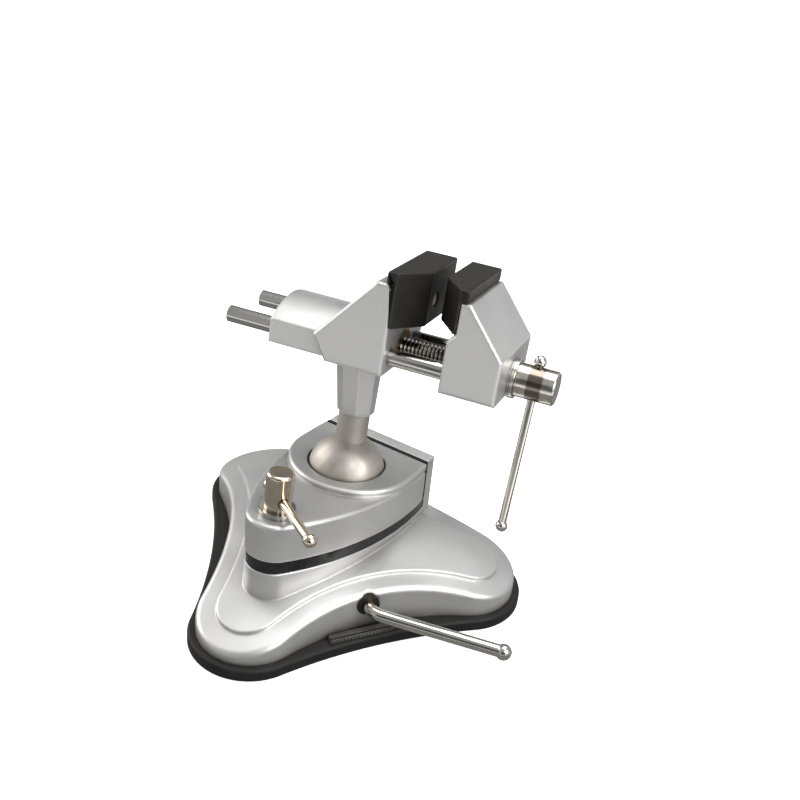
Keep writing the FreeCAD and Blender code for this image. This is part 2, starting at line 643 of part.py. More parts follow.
def make_base():
    """Base casting: domed shell, raised panel, pedestal, rear upright, shaft ribs and bores."""
    made = body("base_casting")
    rim = sketch(made, "XY_Plane", d.pad_height)
    lobed(rim, d.shell_lobe, d.shell_flank, d.shell_back)
    pad(made, rim, d.dome_crown)
    dome_cut(made, d.dome_crown)
    low = d.pad_height.value
    rounded(made, d.shell_edge, lambda e: e.BoundBox.ZMin > low + 1 and e.BoundBox.ZLength > 0.05)
    panel = sketch(made, "XY_Plane", d.hollow_low)
    lobed(panel, d.panel_lobe, d.panel_flank, d.panel_flank)
    pad(made, panel, d.dome_crown)
    dome_cut(made, d.dome_crown + d.panel_rise)
    pedestal = sketch(made, "XY_Plane", d.hollow_low)
    arrow(pedestal, d.rear_y + d.gasket_back, size(0))
    pad(made, pedestal, d.tall)
    slope_cut(made, -d.lobe_front - d.pad_lobe, d.rear_y + d.pad_lobe, d.seat_nose, d.seat_rear, d.clamp_high)
    upright = sketch(made, "XY_Plane", d.hollow_low)
    half = d.rear_half - d.upright_step
    back = d.rear_y + d.gasket_back
    box(upright, -half, half, back, back + d.upright_deep)
    pad(made, upright, d.upright_top - d.hollow_low)
    spot = sketch(made, "XY_Plane", d.well_high)
    circle(spot, 0, 0, d.seat_round + d.spot_edge)
    pad(made, spot, d.spot_high - d.well_high)
    over = sketch(made, "XY_Plane", d.spot_high)
    circle(over, 0, 0, d.seat_round + d.spot_edge)
    pocket(made, over, d.clamp_high - d.spot_high, Reversed=True)
    shallow = sketch(made, "XY_Plane", d.pad_height)
    lobed(shallow, d.shell_lobe - d.shell_wall, d.shell_flank + d.shell_wall, d.shell_back + d.shell_wall)
    pocket(made, shallow, d.hollow_low - d.pad_height, Reversed=True)
    for radius, high in ((d.hollow_round, d.rib_low), (d.well_round, d.well_high)):
        hollow = sketch(made, "XY_Plane", d.pad_height)
        circle(hollow, 0, 0, radius)
        pocket(made, hollow, high - d.pad_height, Reversed=True)
    ribbed = sketch(made, "XY_Plane", d.rib_low, SHAFT_TURN)
    circle(ribbed, 0, 0, d.hollow_round)
    box(ribbed, d.rib_from, d.rib_to, -d.rib_half, d.rib_half)
    box(ribbed, -d.rib_to, -d.rib_from, -d.rib_half, d.rib_half)
    pocket(made, ribbed, d.hollow_high - d.rib_low, Reversed=True)
    screw_bore(made, d.insert_round, -d.screw_well)
    return made


def bore_shaft(owner):
    """Bores of the lever shaft and its bush, at the shaft's angle."""
    along = Vector(math.cos(math.radians(SHAFT_TURN)), math.sin(math.radians(SHAFT_TURN)), 0)
    for radius, start, end in (
        (d.bore_fit, -d.hollow_round, d.hollow_round),
        (d.bore_fit + d.bush_room, d.rib_to, d.bush_from),
        (d.bush_round, d.bush_from, d.bush_to + d.bush_wall),
    ):
        made = owner.newObject("Sketcher::SketchObject", "%s_sketch_%d" % (owner.Label, len(owner.Group)))
        plane = [f for f in owner.Origin.OriginFeatures if f.Role == "YZ_Plane"][0]
        made.AttachmentSupport = [(plane, "")]
        made.MapMode = "FlatFace"
        made.AttachmentOffset = Placement(
            Vector(along.y * start.value, 0, along.x * start.value),
            Rotation(Y_AXIS, SHAFT_TURN),
        )
        made.setExpression("AttachmentOffset.Base.x", "%s * %r" % (start.text, along.y))
        made.setExpression("AttachmentOffset.Base.z", "%s * %r" % (start.text, along.x))
        circle(made, 0, d.shaft_high, radius)
        pocket(owner, made, end - start, Reversed=True)


def make_foot_inserts():
    """Gasket between base and clamp plate, thread insert and lever bush."""
    gasket = body("socket_gasket")
    face = sketch(gasket, "XY_Plane", d.hollow_low)
    arrow(face, d.rear_y + d.gasket_back, d.gasket_inset)
    pad(gasket, face, d.upright_top - d.hollow_low)
    slope_cut(gasket, -d.lobe_front - d.pad_lobe, d.rear_y + d.pad_lobe, d.seat_nose, d.seat_rear, size(0))
    slope_cut(gasket, -d.lobe_front - d.pad_lobe, d.rear_y,
              d.seat_nose + d.gasket_nose, d.seat_rear + d.gasket_rear, d.clamp_high)
    hole = sketch(gasket, "XY_Plane", d.hollow_low)
    circle(hole, 0, 0, d.seat_round + d.spot_edge + d.spot_gap)
    pocket(gasket, hole, d.clamp_high, Reversed=True)
    screw_bore(gasket, d.screw_round + d.screw_room, -d.screw_well)
    insert = body("clamp_insert", SCREW)
    top = slope_height(-d.screw_y, d.seat_nose, d.seat_rear) - d.insert_sunk - d.screw_base
    tube(insert, d.screw_round + d.turn_fit, d.insert_round, top - d.insert_long, top)
    bush = body("shaft_bush", SHAFT)
    tube(bush, d.bore_fit, d.bush_round, d.bush_from, d.bush_to, "H_Axis")


def make_lever():
    """Bent rod lever with its eccentric, pin and retaining clip."""
    lean = SHAFT * Placement(Vector(), Rotation(X_AXIS, LEVER_DROP))
    lever = body("suction_lever", lean)
    rod = sketch(lever, "YZ_Plane", -d.shaft_inner)
    circle(rod, 0, 0, d.shaft_round)
    path = sketch(lever, "XY_Plane")
    arm = root(d.lever_run * d.lever_run + d.lever_side * d.lever_side)
    tangent = d.lever_curve * (arm - d.lever_run) / d.lever_side
    start = d.lever_bend - tangent
    turn = math.atan2(d.lever_side.value, d.lever_run.value)
    centre = Vector(start.value, d.lever_curve.value, 0)
    quarter = math.pi / 2
    bend = Part.ArcOfCircle(Part.Circle(centre, Z_AXIS, d.lever_curve.value), -quarter, turn - quarter)
    end = Vector((d.lever_bend + d.lever_run).value, d.lever_side.value, 0)
    path.addGeometry(Part.LineSegment(Vector(-d.shaft_inner.value, 0, 0), Vector(start.value, 0, 0)))
    path.addGeometry(bend)
    path.addGeometry(Part.LineSegment(bend.EndPoint, end))
    path.addConstraint(Sketcher.Constraint("Tangent", 0, 2, 1, 1))
    path.addConstraint(Sketcher.Constraint("Tangent", 1, 2, 2, 1))
    pin_point(path, 0, 1, -d.shaft_inner, 0)
    path.addConstraint(Sketcher.Constraint("Horizontal", 0))
    pin_point(path, 1, 1, start, None)
    hold(path, "Radius", 1, d.lever_curve)
    pin_point(path, 2, 2, d.lever_bend + d.lever_run, d.lever_side)
    feature(lever, "AdditivePipe", Profile=rod, Spine=path)
    doc.recompute()
    groove = d.rib_to + d.play
    tube(lever, d.shaft_round - d.clip_bite, d.clip_outer, -groove - d.clip_thick - d.play, -groove,
         "H_Axis", "Groove")
    pin_hole = sketch(lever, "XY_Plane", tilt=-LEVER_DROP)
    circle(pin_hole, 0, 0, d.pin_round)
    pocket(lever, pin_hole, (d.shaft_round + d.pin_round) * 2.0, Midplane=True)
    knob = body("lever_knob", lean * Placement(end, Rotation(Z_AXIS, math.degrees(turn))))
    ball(knob, 0, d.lever_knob)
    bore(knob, "YZ_Plane", 0, 0, d.shaft_round, -d.lever_knob, d.lever_knob)
    cam = body("lifting_cam", SHAFT)
    disc = sketch(cam, "YZ_Plane", -d.cam_half)
    circle(disc, 0, -d.cam_throw, d.cam_round)
    circle(disc, 0, 0, d.shaft_round)
    pad(cam, disc, d.cam_half * 2.0)
    cam_top = d.cam_round - d.cam_throw
    pin_hole = sketch(cam, "XY_Plane", -d.cam_round - d.cam_throw)
    circle(pin_hole, 0, 0, d.pin_round)
    pocket(cam, pin_hole, d.cam_round * 2.0, Reversed=True)
    pin = body("cam_pin", SHAFT)
    bar(pin, "XY_Plane", 0, 0, d.pin_round, -d.cam_round - d.cam_throw + d.pin_short,
        cam_top + d.cam_round + d.cam_throw - d.pin_short - d.pin_short)
    clip = body("shaft_clip", SHAFT)
    tube(clip, d.shaft_round - d.clip_bite, d.clip_outer, -groove - d.clip_thick, -groove, "H_Axis")


def make_puller():
    """Yoke round the eccentric, with its stud, and the plate that lifts the rubber."""
    yoke = body("pull_yoke", SHAFT)
    frame = sketch(yoke, "YZ_Plane", -d.yoke_deep)
    low = -d.cam_throw - d.yoke_window
    high = -d.cam_throw + d.yoke_window
    side = d.yoke_half - d.yoke_wall
    box(frame, -d.yoke_half, d.yoke_half, low - d.yoke_roof, high + d.yoke_roof)
    box(frame, -side, side, low, high)
    pad(yoke, frame, d.yoke_deep * 2.0)
    plate_low = d.pad_skin + d.plate_free
    plate_high = plate_low + d.plate_thick
    bottom = low - d.yoke_roof
    foot = plate_low - d.shaft_high
    bar(yoke, "XY_Plane", 0, 0, d.stud_round, foot, bottom - foot)
    plate = body("pull_plate")
    tube(plate, d.stud_round, d.plate_round, plate_low, plate_high)


def make_ball():
    """Ball with its neck and spigot, and the two part seat's lower half."""
    seat = body("ball_seat")
    cup = d.ball_round + d.ball_fit
    drop = d.ball_high - d.seat_lip
    lip = root(cup * cup - drop * drop)
    low = d.spot_high + d.play
    turned(seat, [
        (size(0), low), (d.seat_round, low), (d.seat_round, d.seat_lip),
        (lip, d.seat_lip, "y"), (size(0), d.ball_high - cup, "x"),
    ], {3: (size(0), d.ball_high, cup, False)})
    stud = body("ball_stud", HEAD)
    join = root(d.ball_round * d.ball_round - d.neck_round * d.neck_round)
    groove = d.spigot_round - d.groove_deep
    half = d.groove_wide / 2.0
    turned(stud, [
        (size(0), -d.ball_round, "x"), (d.neck_round, join, "x"), (d.neck_round, d.neck_long),
        (d.spigot_round, d.neck_long), (d.spigot_round, d.groove_high - half),
        (groove, d.groove_high - half), (groove, d.groove_high + half),
        (d.spigot_round, d.groove_high + half), (d.spigot_round, d.spigot_long),
        (size(0), d.spigot_long),
    ], {0: (size(0), size(0), d.ball_round, True)})


def make_clamp():
    """Clamp plate over the ball, its washer, screw, bar and knob."""
    plate = body("clamp_plate")
    face = sketch(plate, "XY_Plane", d.hollow_low)
    arrow(face, d.rear_y, size(0))
    pad(plate, face, d.tall)
    front, back = -d.lobe_front - d.pad_lobe, d.rear_y + d.pad_lobe
    slope_cut(plate, front, back, d.plate_nose, d.plate_rear, d.clamp_high + d.clamp_high)
    rounded(plate, d.plate_edge, lambda e: on_slope(e, d.plate_nose, d.plate_rear) and is_outer(e))
    crown = sketch(plate, "XY_Plane", d.ball_high)
    circle(crown, 0, d.crown_back, d.crown_round)
    pad(plate, crown, d.clamp_high - d.ball_high)
    behind = sketch(plate, "XY_Plane", d.ball_high)
    box(behind, -d.crown_round, d.crown_round, d.crown_back, back)
    pad(plate, behind, d.clamp_high - d.ball_high)
    slope_cut(plate, front, back, d.crown_nose, d.crown_rear, d.clamp_high + d.clamp_high)
    rounded(plate, d.crown_edge, lambda e: on_slope(e, d.crown_nose, d.crown_rear) and is_outer(e))
    sides = sketch(plate, "XY_Plane", d.hollow_low)
    far = d.pad_lobe + d.rear_half
    box(sides, -far, far, front, back)
    arrow(sides, d.rear_y, size(0))
    pocket(plate, sides, d.clamp_high, Reversed=True)
    trim = sketch(plate, "XY_Plane", d.hollow_low)
    box(trim, -far, far, d.rear_y - d.back_gap, back)
    pocket(plate, trim, d.clamp_high, Reversed=True)
    slope_cut(plate, front, back, d.seat_nose + d.gasket_nose + d.plate_gap,
              d.seat_rear + d.gasket_rear + d.plate_gap, size(0))
    cup = d.ball_round + d.socket_gap
    shelf = d.seat_lip + d.seat_gap
    drop = d.ball_high - shelf
    side = root(cup * cup - drop * drop)
    rise = d.mouth_low - d.ball_high
    neck = root(cup * cup - rise * rise)
    out = d.seat_round + d.seat_gap
    turned(plate, [
        (size(0), size(0)), (out, size(0)), (out, shelf), (side, shelf, "y"),
        (neck, d.mouth_low, "y"), (d.mouth_round, d.mouth_high), (d.mouth_round, d.clamp_high),
        (size(0), d.clamp_high),
    ], {3: (size(0), d.ball_high, cup, True)}, kind="Groove")
    screw_bore(plate, d.screw_round + d.screw_room, -d.screw_well)
    washer = body("clamp_washer", SCREW)
    low = d.play
    tube(washer, d.screw_round + d.turn_fit, d.washer_round, low, low + d.washer_thick)
    screw = body("clamp_screw", SCREW * Placement(Vector(), Rotation(Z_AXIS, BAR_TURN)))
    head_low = low + d.washer_thick + d.play
    turned(screw, [
        (size(0), -d.screw_tip), (d.screw_round, -d.screw_tip), (d.screw_round, head_low),
        (d.screw_head, head_low), (d.screw_head, d.screw_top), (size(0), d.screw_top),
    ])
    tip = d.screw_top.value
    rounded(screw, d.screw_edge, lambda e: at_height(e, tip))
    bore(screw, "YZ_Plane", 0, d.bar_high, d.bar_round + d.bar_free, -d.screw_head, d.screw_head * 2.0)
    across = SCREW * Placement(Vector(0, 0, d.bar_high.value), Rotation(Z_AXIS, BAR_TURN))
    make_handle("clamp_bar", "clamp_bar_knob", across, d.bar_round, d.bar_knob,
                d.bar_shift - d.bar_half, d.bar_shift + d.bar_half)


def make_handle(label, knob_label, place, radius, knob_radius, start, end):
    """A handle bar with a ball at its start and a loose ball pressed on its end."""
    made = body(label, place)
    bar(made, "YZ_Plane", 0, 0, radius, start, end - start)
    ball(made, start, knob_radius)
    knob = body(knob_label, place)
    ball(knob, end, knob_radius)
    bore(knob, "YZ_Plane", 0, 0, radius, end - knob_radius, knob_radius)


def octagon(made, half, shift):
    """Eight sides of equal length, flat towards the axes."""
    short = half * OCTAGON_HALF_TAN
    outline(made, [
        (shift + half, -short), (shift + half, short), (shift + short, half), (shift - short, half),
        (shift - half, short), (shift - half, -short), (shift - short, -half), (shift + short, -half),
    ])


def make_fixed_jaw():
    """Head casting: fixed jaw wedge, arched rod sleeve and eight sided stem."""
    made = body("fixed_jaw", HEAD)
    wedge = sketch(made, "XZ_Plane")
    outline(wedge, [
        (-d.wedge_foot, d.jaw_low), (d.fixed_face, d.jaw_low), (d.fixed_face, d.jaw_high),
        (d.fixed_top, d.jaw_high), (-d.wedge_back, d.wedge_high),
    ])
    pad(made, wedge, d.jaw_half * 2.0, Midplane=True)
    half = d.jaw_half.value
    rounded(made, d.jaw_edge, lambda e: abs(abs(e.CenterOfMass.y) - half) < 0.05
            or abs(e.BoundBox.YLength) < 0.01)
    sleeve = sketch(made, "YZ_Plane", -d.sleeve_end)
    arch = d.sleeve_arch
    centre = d.sleeve_side - root(arch * arch - d.sleeve_half * d.sleeve_half)
    outline(sleeve, [
        (-d.sleeve_half, d.sleeve_low), (d.sleeve_half, d.sleeve_low),
        (d.sleeve_half, d.sleeve_side, "x"), (-d.sleeve_half, d.sleeve_side, "x"),
    ], {2: (size(0), centre, arch, True)})
    pad(made, sleeve, d.sleeve_end)
    foot = sketch(made, "XY_Plane", d.stem_low)
    octagon(foot, d.stem_foot, d.stem_shift)
    top = sketch(made, "XY_Plane", d.jaw_low + d.jaw_edge)
    octagon(top, d.stem_head, -d.stem_lean)
    feature(made, "AdditiveLoft", Profile=foot, Sections=[top])
    doc.recompute()
    whole = d.sleeve_end + d.fixed_face
    for side in (-1.0, 1.0):
        bore(made, "YZ_Plane", d.rod_side * side, d.rod_high, d.rod_bore, -d.sleeve_end, whole)
    bore(made, "YZ_Plane", 0, d.rod_high, d.lead_round + d.lead_room, -d.sleeve_end, whole)
    nut_start = d.fixed_face - d.nut_long
    bore(made, "YZ_Plane", 0, d.rod_high, d.nut_round, nut_start, d.nut_long)
    bore(made, "YZ_Plane", 0, d.rod_high, d.nut_round + d.nut_flange, d.fixed_face - d.nut_rim, d.nut_rim)
    top_gap = d.spigot_long - d.stem_low + d.grub_free
    bore(made, "XY_Plane", 0, 0, d.spigot_round + d.turn_fit, d.stem_low, top_gap)
    bite = d.pad_screw_bite
    bore(made, "YZ_Plane", 0, d.pad_screw_high, d.pad_screw_round, d.fixed_face - bite, bite)
    bore(made, "XZ_Plane", 0, d.groove_high, d.grub_round, -d.stem_head, d.stem_head)
    nut = body("jaw_nut", HEAD * Placement(Z_AXIS * d.rod_high.value, Rotation()))
    tube(nut, d.lead_bore, d.nut_round, nut_start, d.fixed_face, "H_Axis")
    tube(nut, d.lead_bore, d.nut_round + d.nut_flange, d.fixed_face - d.nut_rim, d.fixed_face, "H_Axis")
    grub = body("stem_grub", HEAD * Placement(Z_AXIS * d.groove_high.value, Rotation()))
    tip = d.spigot_round - d.groove_deep + d.grub_free
    bar(grub, "XZ_Plane", 0, 0, d.grub_round, -d.stem_foot, d.stem_foot - tip)


def grip_pad(owner, face, thick, lip, side, low):
    """Rubber jaw pad: block on the jaw face, lip over the jaw top, bevelled front end."""
    grip = face + thick
    shelf = face - lip
    block = sketch(owner, "XY_Plane", low)
    outline(block, [
        (face, -d.jaw_half), (grip - d.bevel_thick * side, -d.jaw_half),
        (grip, -d.jaw_half + d.bevel_wide), (grip, d.jaw_half), (face, d.jaw_half),
    ])
    pad(owner, block, d.jaw_high + d.grip_lip - low)
    cover = sketch(owner, "XZ_Plane")
    box(cover, shelf, face + d.jaw_edge * side * 0.5, d.jaw_high, d.jaw_high + d.grip_lip)
    pad(owner, cover, d.jaw_half * 2.0, Midplane=True)


def make_jaw_pads():
    """The two jaw pads and the screws that hold them."""
    fixed = body("fixed_jaw_pad", HEAD)
    grip_pad(fixed, d.fixed_face, d.grip_thick, d.grip_hook, 1.0, d.grip_low)
    moving = body("movable_jaw_pad", HEAD)
    grip_pad(moving, d.ledge_face, -d.grip_thick, -d.grip_reach, -1.0, d.ledge_high)
    for owner, label, face, side in (
        (fixed, "fixed_pad_screw", d.fixed_face, 1.0),
        (moving, "movable_pad_screw", d.ledge_face, -1.0),
    ):
        grip = face + d.grip_thick * side
        head = grip - d.pad_screw_sunk * side
        shoulder = head - d.pad_head_deep * side
        tip = face - d.pad_screw_bite * side
        for radius, start, end in (
            (d.pad_screw_round, face, grip),
            (d.pad_screw_head, shoulder, grip),
        ):
            low, span = (start, end - start) if side > 0 else (end, start - end)
            bore(owner, "YZ_Plane", 0, d.pad_screw_high, radius, low, span)
        screw = body(label, HEAD * Placement(Z_AXIS * d.pad_screw_high.value, Rotation()))
        for radius, start, end in ((d.pad_screw_round, tip, head), (d.pad_screw_head, shoulder, head)):
            low, high = (start, end) if side > 0 else (end, start)
            tube(screw, 0, radius, low, high, "H_Axis")


def make_movable_jaw():
    """Movable jaw with its two pressed rods and their grub screws."""
    made = body("movable_jaw", HEAD)
    shape = sketch(made, "XZ_Plane")
    outline(shape, [
        (d.move_near, d.jaw_low), (d.move_face, d.jaw_low), (d.move_face, d.move_slope),
        (d.move_near + d.move_top, d.jaw_high), (d.ledge_face, d.jaw_high),
        (d.ledge_face, d.ledge_high), (d.move_near, d.ledge_low),
    ])
    pad(made, shape, d.jaw_half * 2.0, Midplane=True)
    half = d.jaw_half.value
    rounded(made, d.jaw_edge, lambda e: abs(abs(e.CenterOfMass.y) - half) < 0.05)
    for side in (-1.0, 1.0):
        bore(made, "YZ_Plane", d.rod_side * side, d.rod_high, d.rod_round, d.move_near, d.rod_seat)
        bore(made, "XY_Plane", d.move_near + d.rod_seat / 2.0, d.rod_side * side, d.grub_round,
             d.jaw_low, d.rod_high - d.rod_round - d.jaw_low)
    bore(made, "YZ_Plane", 0, d.rod_high, d.lead_bore, d.move_near, d.move_deep)
    bore(made, "YZ_Plane", 0, d.rod_high, d.screw_clip_outer + d.screw_clip_room, d.move_near, d.clip_room)
    bite = d.pad_screw_bite
    bore(made, "YZ_Plane", 0, d.pad_screw_high, d.pad_screw_round, d.ledge_face, bite)
    rods = body("guide_rods", HEAD)
    grubs = body("rod_grubs", HEAD)
    for made in (rods, grubs):
        made.AllowCompound = True
    top = d.rod_high - d.rod_round
    for side in (-1.0, 1.0):
        bar(rods, "YZ_Plane", d.rod_side * side, d.rod_high, d.rod_round, -d.rod_end,
            d.rod_end + d.move_near + d.rod_seat)
        bar(grubs, "XY_Plane", d.move_near + d.rod_seat / 2.0, d.rod_side * side, d.grub_round,
            d.jaw_low + d.grub_sunk, top - d.jaw_low - d.grub_sunk)


def make_lead_screw():
    """Lead screw with collar and cross drilled head, clip, thrust washer and tommy bar."""
    screw = body("lead_screw", LEAD)
    collar_end = d.collar_start + d.collar_thick
    turned(screw, [
        (-d.lead_end, size(0)), (-d.lead_end, d.lead_round), (d.collar_start, d.lead_round),
        (d.collar_start, d.collar_round), (collar_end, d.collar_round), (collar_end, d.head_round),
        (d.head_end, d.head_round), (d.head_end, size(0)),
    ], axis="H_Axis")
    slot = d.move_near + d.play * 2.0
    floor = d.lead_round - d.clip_bite
    tube(screw, floor, d.screw_clip_outer, slot, slot + d.clip_thick, "H_Axis", "Groove")
    bore(screw, "XY_Plane", d.tommy_x, 0, d.tommy_round + d.bar_free, -d.head_round, d.head_round * 2.0)
    clip = body("screw_clip", LEAD)
    tube(clip, floor, d.screw_clip_outer, slot, slot + d.clip_thick, "H_Axis")
    washer = body("thrust_washer", LEAD)
    start = d.move_face + d.play
    tube(washer, d.lead_bore, d.collar_round, start, start + d.thrust_thick, "H_Axis")
    down = LEAD * Placement(Vector(d.tommy_x.value, 0, 0), Rotation(Y_AXIS, 90.0))
    make_handle("tommy_bar", "tommy_knob", down, d.tommy_round, d.tommy_knob, -d.tommy_up, d.tommy_down)


make_pad()
casting = make_base()
bore_shaft(casting)
make_foot_inserts()
make_lever()
make_puller()
make_ball()
make_clamp()
make_fixed_jaw()
make_jaw_pads()
make_movable_jaw()
make_lead_screw()
doc.recompute()

for thing in doc.Objects:
    if "Invalid" in thing.State or "Error" in thing.State:
        raise RuntimeError("%s failed: %s" % (thing.Label, thing.State))
for node in nodes:
    if node.Shape.isNull() or not node.Shape.isValid() or not node.Shape.Solids:
        raise RuntimeError("%s has no sound solid" % node.Label)
os.makedirs("parts", exist_ok=True)
for node in nodes:
    node.Shape.exportStep("parts/%s.step" % node.Label)
    print(node.Label, len(node.Shape.Solids), round(node.Shape.Volume, 1))
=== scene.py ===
import json
import math

import bpy
import numpy as np
from bpy.props import FloatProperty, FloatVectorProperty, IntProperty, PointerProperty
from mathutils import Matrix, Vector


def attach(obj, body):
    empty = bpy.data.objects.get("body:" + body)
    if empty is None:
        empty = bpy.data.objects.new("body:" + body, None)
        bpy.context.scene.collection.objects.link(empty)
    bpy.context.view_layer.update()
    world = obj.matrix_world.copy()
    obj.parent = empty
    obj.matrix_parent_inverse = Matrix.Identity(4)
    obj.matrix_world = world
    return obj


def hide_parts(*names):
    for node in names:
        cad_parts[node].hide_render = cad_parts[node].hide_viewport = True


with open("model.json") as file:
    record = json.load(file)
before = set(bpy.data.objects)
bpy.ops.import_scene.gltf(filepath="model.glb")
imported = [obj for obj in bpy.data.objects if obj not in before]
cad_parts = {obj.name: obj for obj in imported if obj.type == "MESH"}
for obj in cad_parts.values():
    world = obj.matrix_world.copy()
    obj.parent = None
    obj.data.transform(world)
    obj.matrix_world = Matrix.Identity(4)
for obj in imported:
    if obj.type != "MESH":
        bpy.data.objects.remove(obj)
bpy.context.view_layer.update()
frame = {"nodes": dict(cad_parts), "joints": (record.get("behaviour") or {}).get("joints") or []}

bl_info = {
    "name": "Suction Base Vise",
    "version": (1, 0, 0),
    "blender": (4, 5, 0),
    "location": "View3D > Sidebar > Vise",
    "description": "Dresses a small vise with a suction foot and a clamped ball joint",
    "category": "Object",
}

JOINTS = {joint["name"]: joint for joint in frame["joints"]}
MM = 0.001
TURN = 2 * math.pi


def joint_axis(name):
    """Direction of a joint's axis at rest."""
    return np.array(JOINTS[name]["axis"], float)


def joint_place(name):
    """Place of a joint's axis at rest."""
    return np.array(JOINTS[name]["pos_m"], float)


# The ball centre and the head's own directions, read from the joints
BALL = joint_place("ball_tilt")
ROD_WAY = joint_axis("jaw_slide")
NECK_WAY = joint_axis("head_spin")
BACK_WAY = np.cross(NECK_WAY, ROD_WAY)
SCREW_PLACE = joint_place("lead_turn")
CLAMP_PLACE = joint_place("clamp_turn")
CLAMP_WAY = joint_axis("clamp_turn")
CLAMP_SIDE = np.array((1.0, 0.0, 0.0))
CLAMP_UP = np.cross(CLAMP_WAY, CLAMP_SIDE)

# Rubber foot, millimetres: lobes and the hollow sides between them, heights and the round well
LOBE_CENTRES = ((0.0, -57.0), (49.0, 15.0), (-49.0, 15.0))
LOBE, FLANK, BACK, ARC_POINTS = 23.0, 205.0, 300.0, 72
FOOT_HIGH, FOOT_SKIN, FOOT_EDGE = 5.0, 2.0, 0.5
WELL, WELL_CAP = 27.0, 26.0

# Release tab, millimetres: its box, where it stands on the foot, and where its ribs are pressed in
TAB_DEEP, TAB_LONG, TAB_LOW, TAB_HIGH = 3.8, 31.0, 4.0, 6.8
TAB_ROUND, TAB_EDGE, TAB_STEP = 0.6, 0.05, 0.12
TAB_OUT, TAB_ALONG, TAB_LEAN = 47.7725, -6.5767, -34.2375
RIB_FROM, RIB_BLEND = 1.5, 0.3

# Jaw pads in the head's frame, millimetres: half width, tops, front bevel and the screw's pocket
JAW_HALF, PAD_TOP, JAW_TOP = 20.5, 87.2, 82.6
BEVEL_WIDE, BEVEL_THICK = 12.5, 8.7
PAD_SCREW_HIGH, POCKET_ROUND, POCKET_EDGE, POCKET_DEEP = 75.4, 2.75, 0.35, 2.0
PAD_STATIONS, END_STATIONS, CORNER_POINTS, PAD_STEP = 88, 5, 6, 0.45

# Each pad along the rods: jaw face, gripping face, lip edge; then its lower edge and facing way
FIXED_PAD = {"face": 14.5, "grip": 23.8, "shelf": 11.2, "low": 67.0, "side": 1}
MOVING_PAD = {"face": 38.5, "grip": 29.2, "shelf": 41.1, "low": 71.0, "side": -1}

# Lead screw, millimetres: tip, thread's end, radius, grid step, the taper at the tip, thread form
LEAD_TIP, LEAD_PLAIN, LEAD_ROUND, LEAD_STEP = -28.5, 57.5, 3.9, 0.12
LEAD_TAPER, LEAD_TAPER_DEEP, LEAD_SIDES = 0.8, 0.7, 60
THREAD_STEEP, THREAD_FLAT, SHARP_TURN = 1.35, 0.15, 50

# Its collar and head, millimetres: distance along the axis and radius
LEAD_HEAD = (
    (57.5, 3.9), (57.5, 7.2), (57.6, 7.4), (58.8, 7.4), (58.9, 7.2), (58.9, 6.3),
    (58.95, 6.3), (72.8, 6.3), (72.9, 6.3), (73.3, 5.95), (73.4, 5.8), (73.4, 5.7),
)

# Threads in the finishes, metres along each axis: where they start and end, and the browned bands
THREAD_START = -50.0 * MM
LEAD_THREAD_END, LEAD_BAND = LEAD_PLAIN * MM, (63.0 * MM, 69.0 * MM)
CLAMP_PITCH, CLAMP_THREAD_END = 1.25 * MM, 1.0 * MM
CLAMP_BAND = (15.0 * MM, 15.5 * MM)

# The next four colours are painted shade: crevices on bright metal, the casting and the threads, then the
# thread valleys
CREASE_SHADE_COLOUR = (0.03, 0.028, 0.025, 1.0)
CAST_CREASE_SHADE = (0.05, 0.048, 0.045, 1.0)
THREAD_CREASE_SHADE = (0.03, 0.026, 0.022, 1.0)
VALLEY_SHADE_COLOUR = (0.045, 0.038, 0.030, 1.0)
BAND_COLOUR = (0.085, 0.050, 0.028, 1.0)
DUST_COLOUR = (0.11, 0.10, 0.09, 1.0)


class ViseSizes(bpy.types.PropertyGroup):
    """Sizes of what is added to the solids."""

    thread_pitch: FloatProperty(
        name="Thread pitch", description="Pitch of the screw threads", default=1.5 * MM, unit="LENGTH"
    )
    rim_round: FloatProperty(
        name="Rubber rim", description="Rounding of the foot's upper rim", default=1.3 * MM, unit="LENGTH"
    )
    thread_depth: FloatProperty(
        name="Thread depth", description="Depth of the lead screw's thread", default=0.55 * MM,
        unit="LENGTH",
    )
    tab_ribs: IntProperty(
        name="Tab ribs", description="Grip ribs on the release tab", default=21, min=2
    )
    tab_rib_deep: FloatProperty(
        name="Tab rib depth", description="Depth of the grip ribs", default=0.45 * MM, unit="LENGTH"
    )
    pad_soft: FloatProperty(
        name="Pad edges", description="Rounding of the jaw pads", default=0.8 * MM, unit="LENGTH"
    )
    edge_soft: FloatProperty(
        name="Soft edges", description="Seeming radius of the casting edges", default=1.2 * MM,
        unit="LENGTH",
    )


class ViseColours(bpy.types.PropertyGroup):
    """Colours of the finishes."""

    cast: FloatVectorProperty(
        name="Casting", description="Satin silver casting", subtype="COLOR", size=3,
        default=(0.55, 0.55, 0.545), min=0, max=1,
    )
    nickel: FloatVectorProperty(
        name="Plated bars", description="Warm bright plating", subtype="COLOR", size=3,
        default=(0.68, 0.60, 0.47), min=0, max=1,
    )
    chrome: FloatVectorProperty(
        name="Bright bars", description="Lever and screw bar", subtype="COLOR", size=3,
        default=(0.66, 0.63, 0.575), min=0, max=1,
    )
    steel: FloatVectorProperty(
        name="Bright steel", description="Guide rods and washers", subtype="COLOR", size=3,
        default=(0.56, 0.545, 0.51), min=0, max=1,
    )
    ball: FloatVectorProperty(
        name="Ball", description="Satin ball and neck", subtype="COLOR", size=3,
        default=(0.47, 0.44, 0.405), min=0, max=1,
    )
    rubber: FloatVectorProperty(
        name="Foot rubber", description="Black foot rubber", subtype="COLOR", size=3,
        default=(0.008, 0.0075, 0.0075), min=0, max=1,
    )
    grip: FloatVectorProperty(
        name="Jaw pads", description="Worn black jaw pads", subtype="COLOR", size=3,
        default=(0.010, 0.009, 0.008), min=0, max=1,
    )


# Node groups


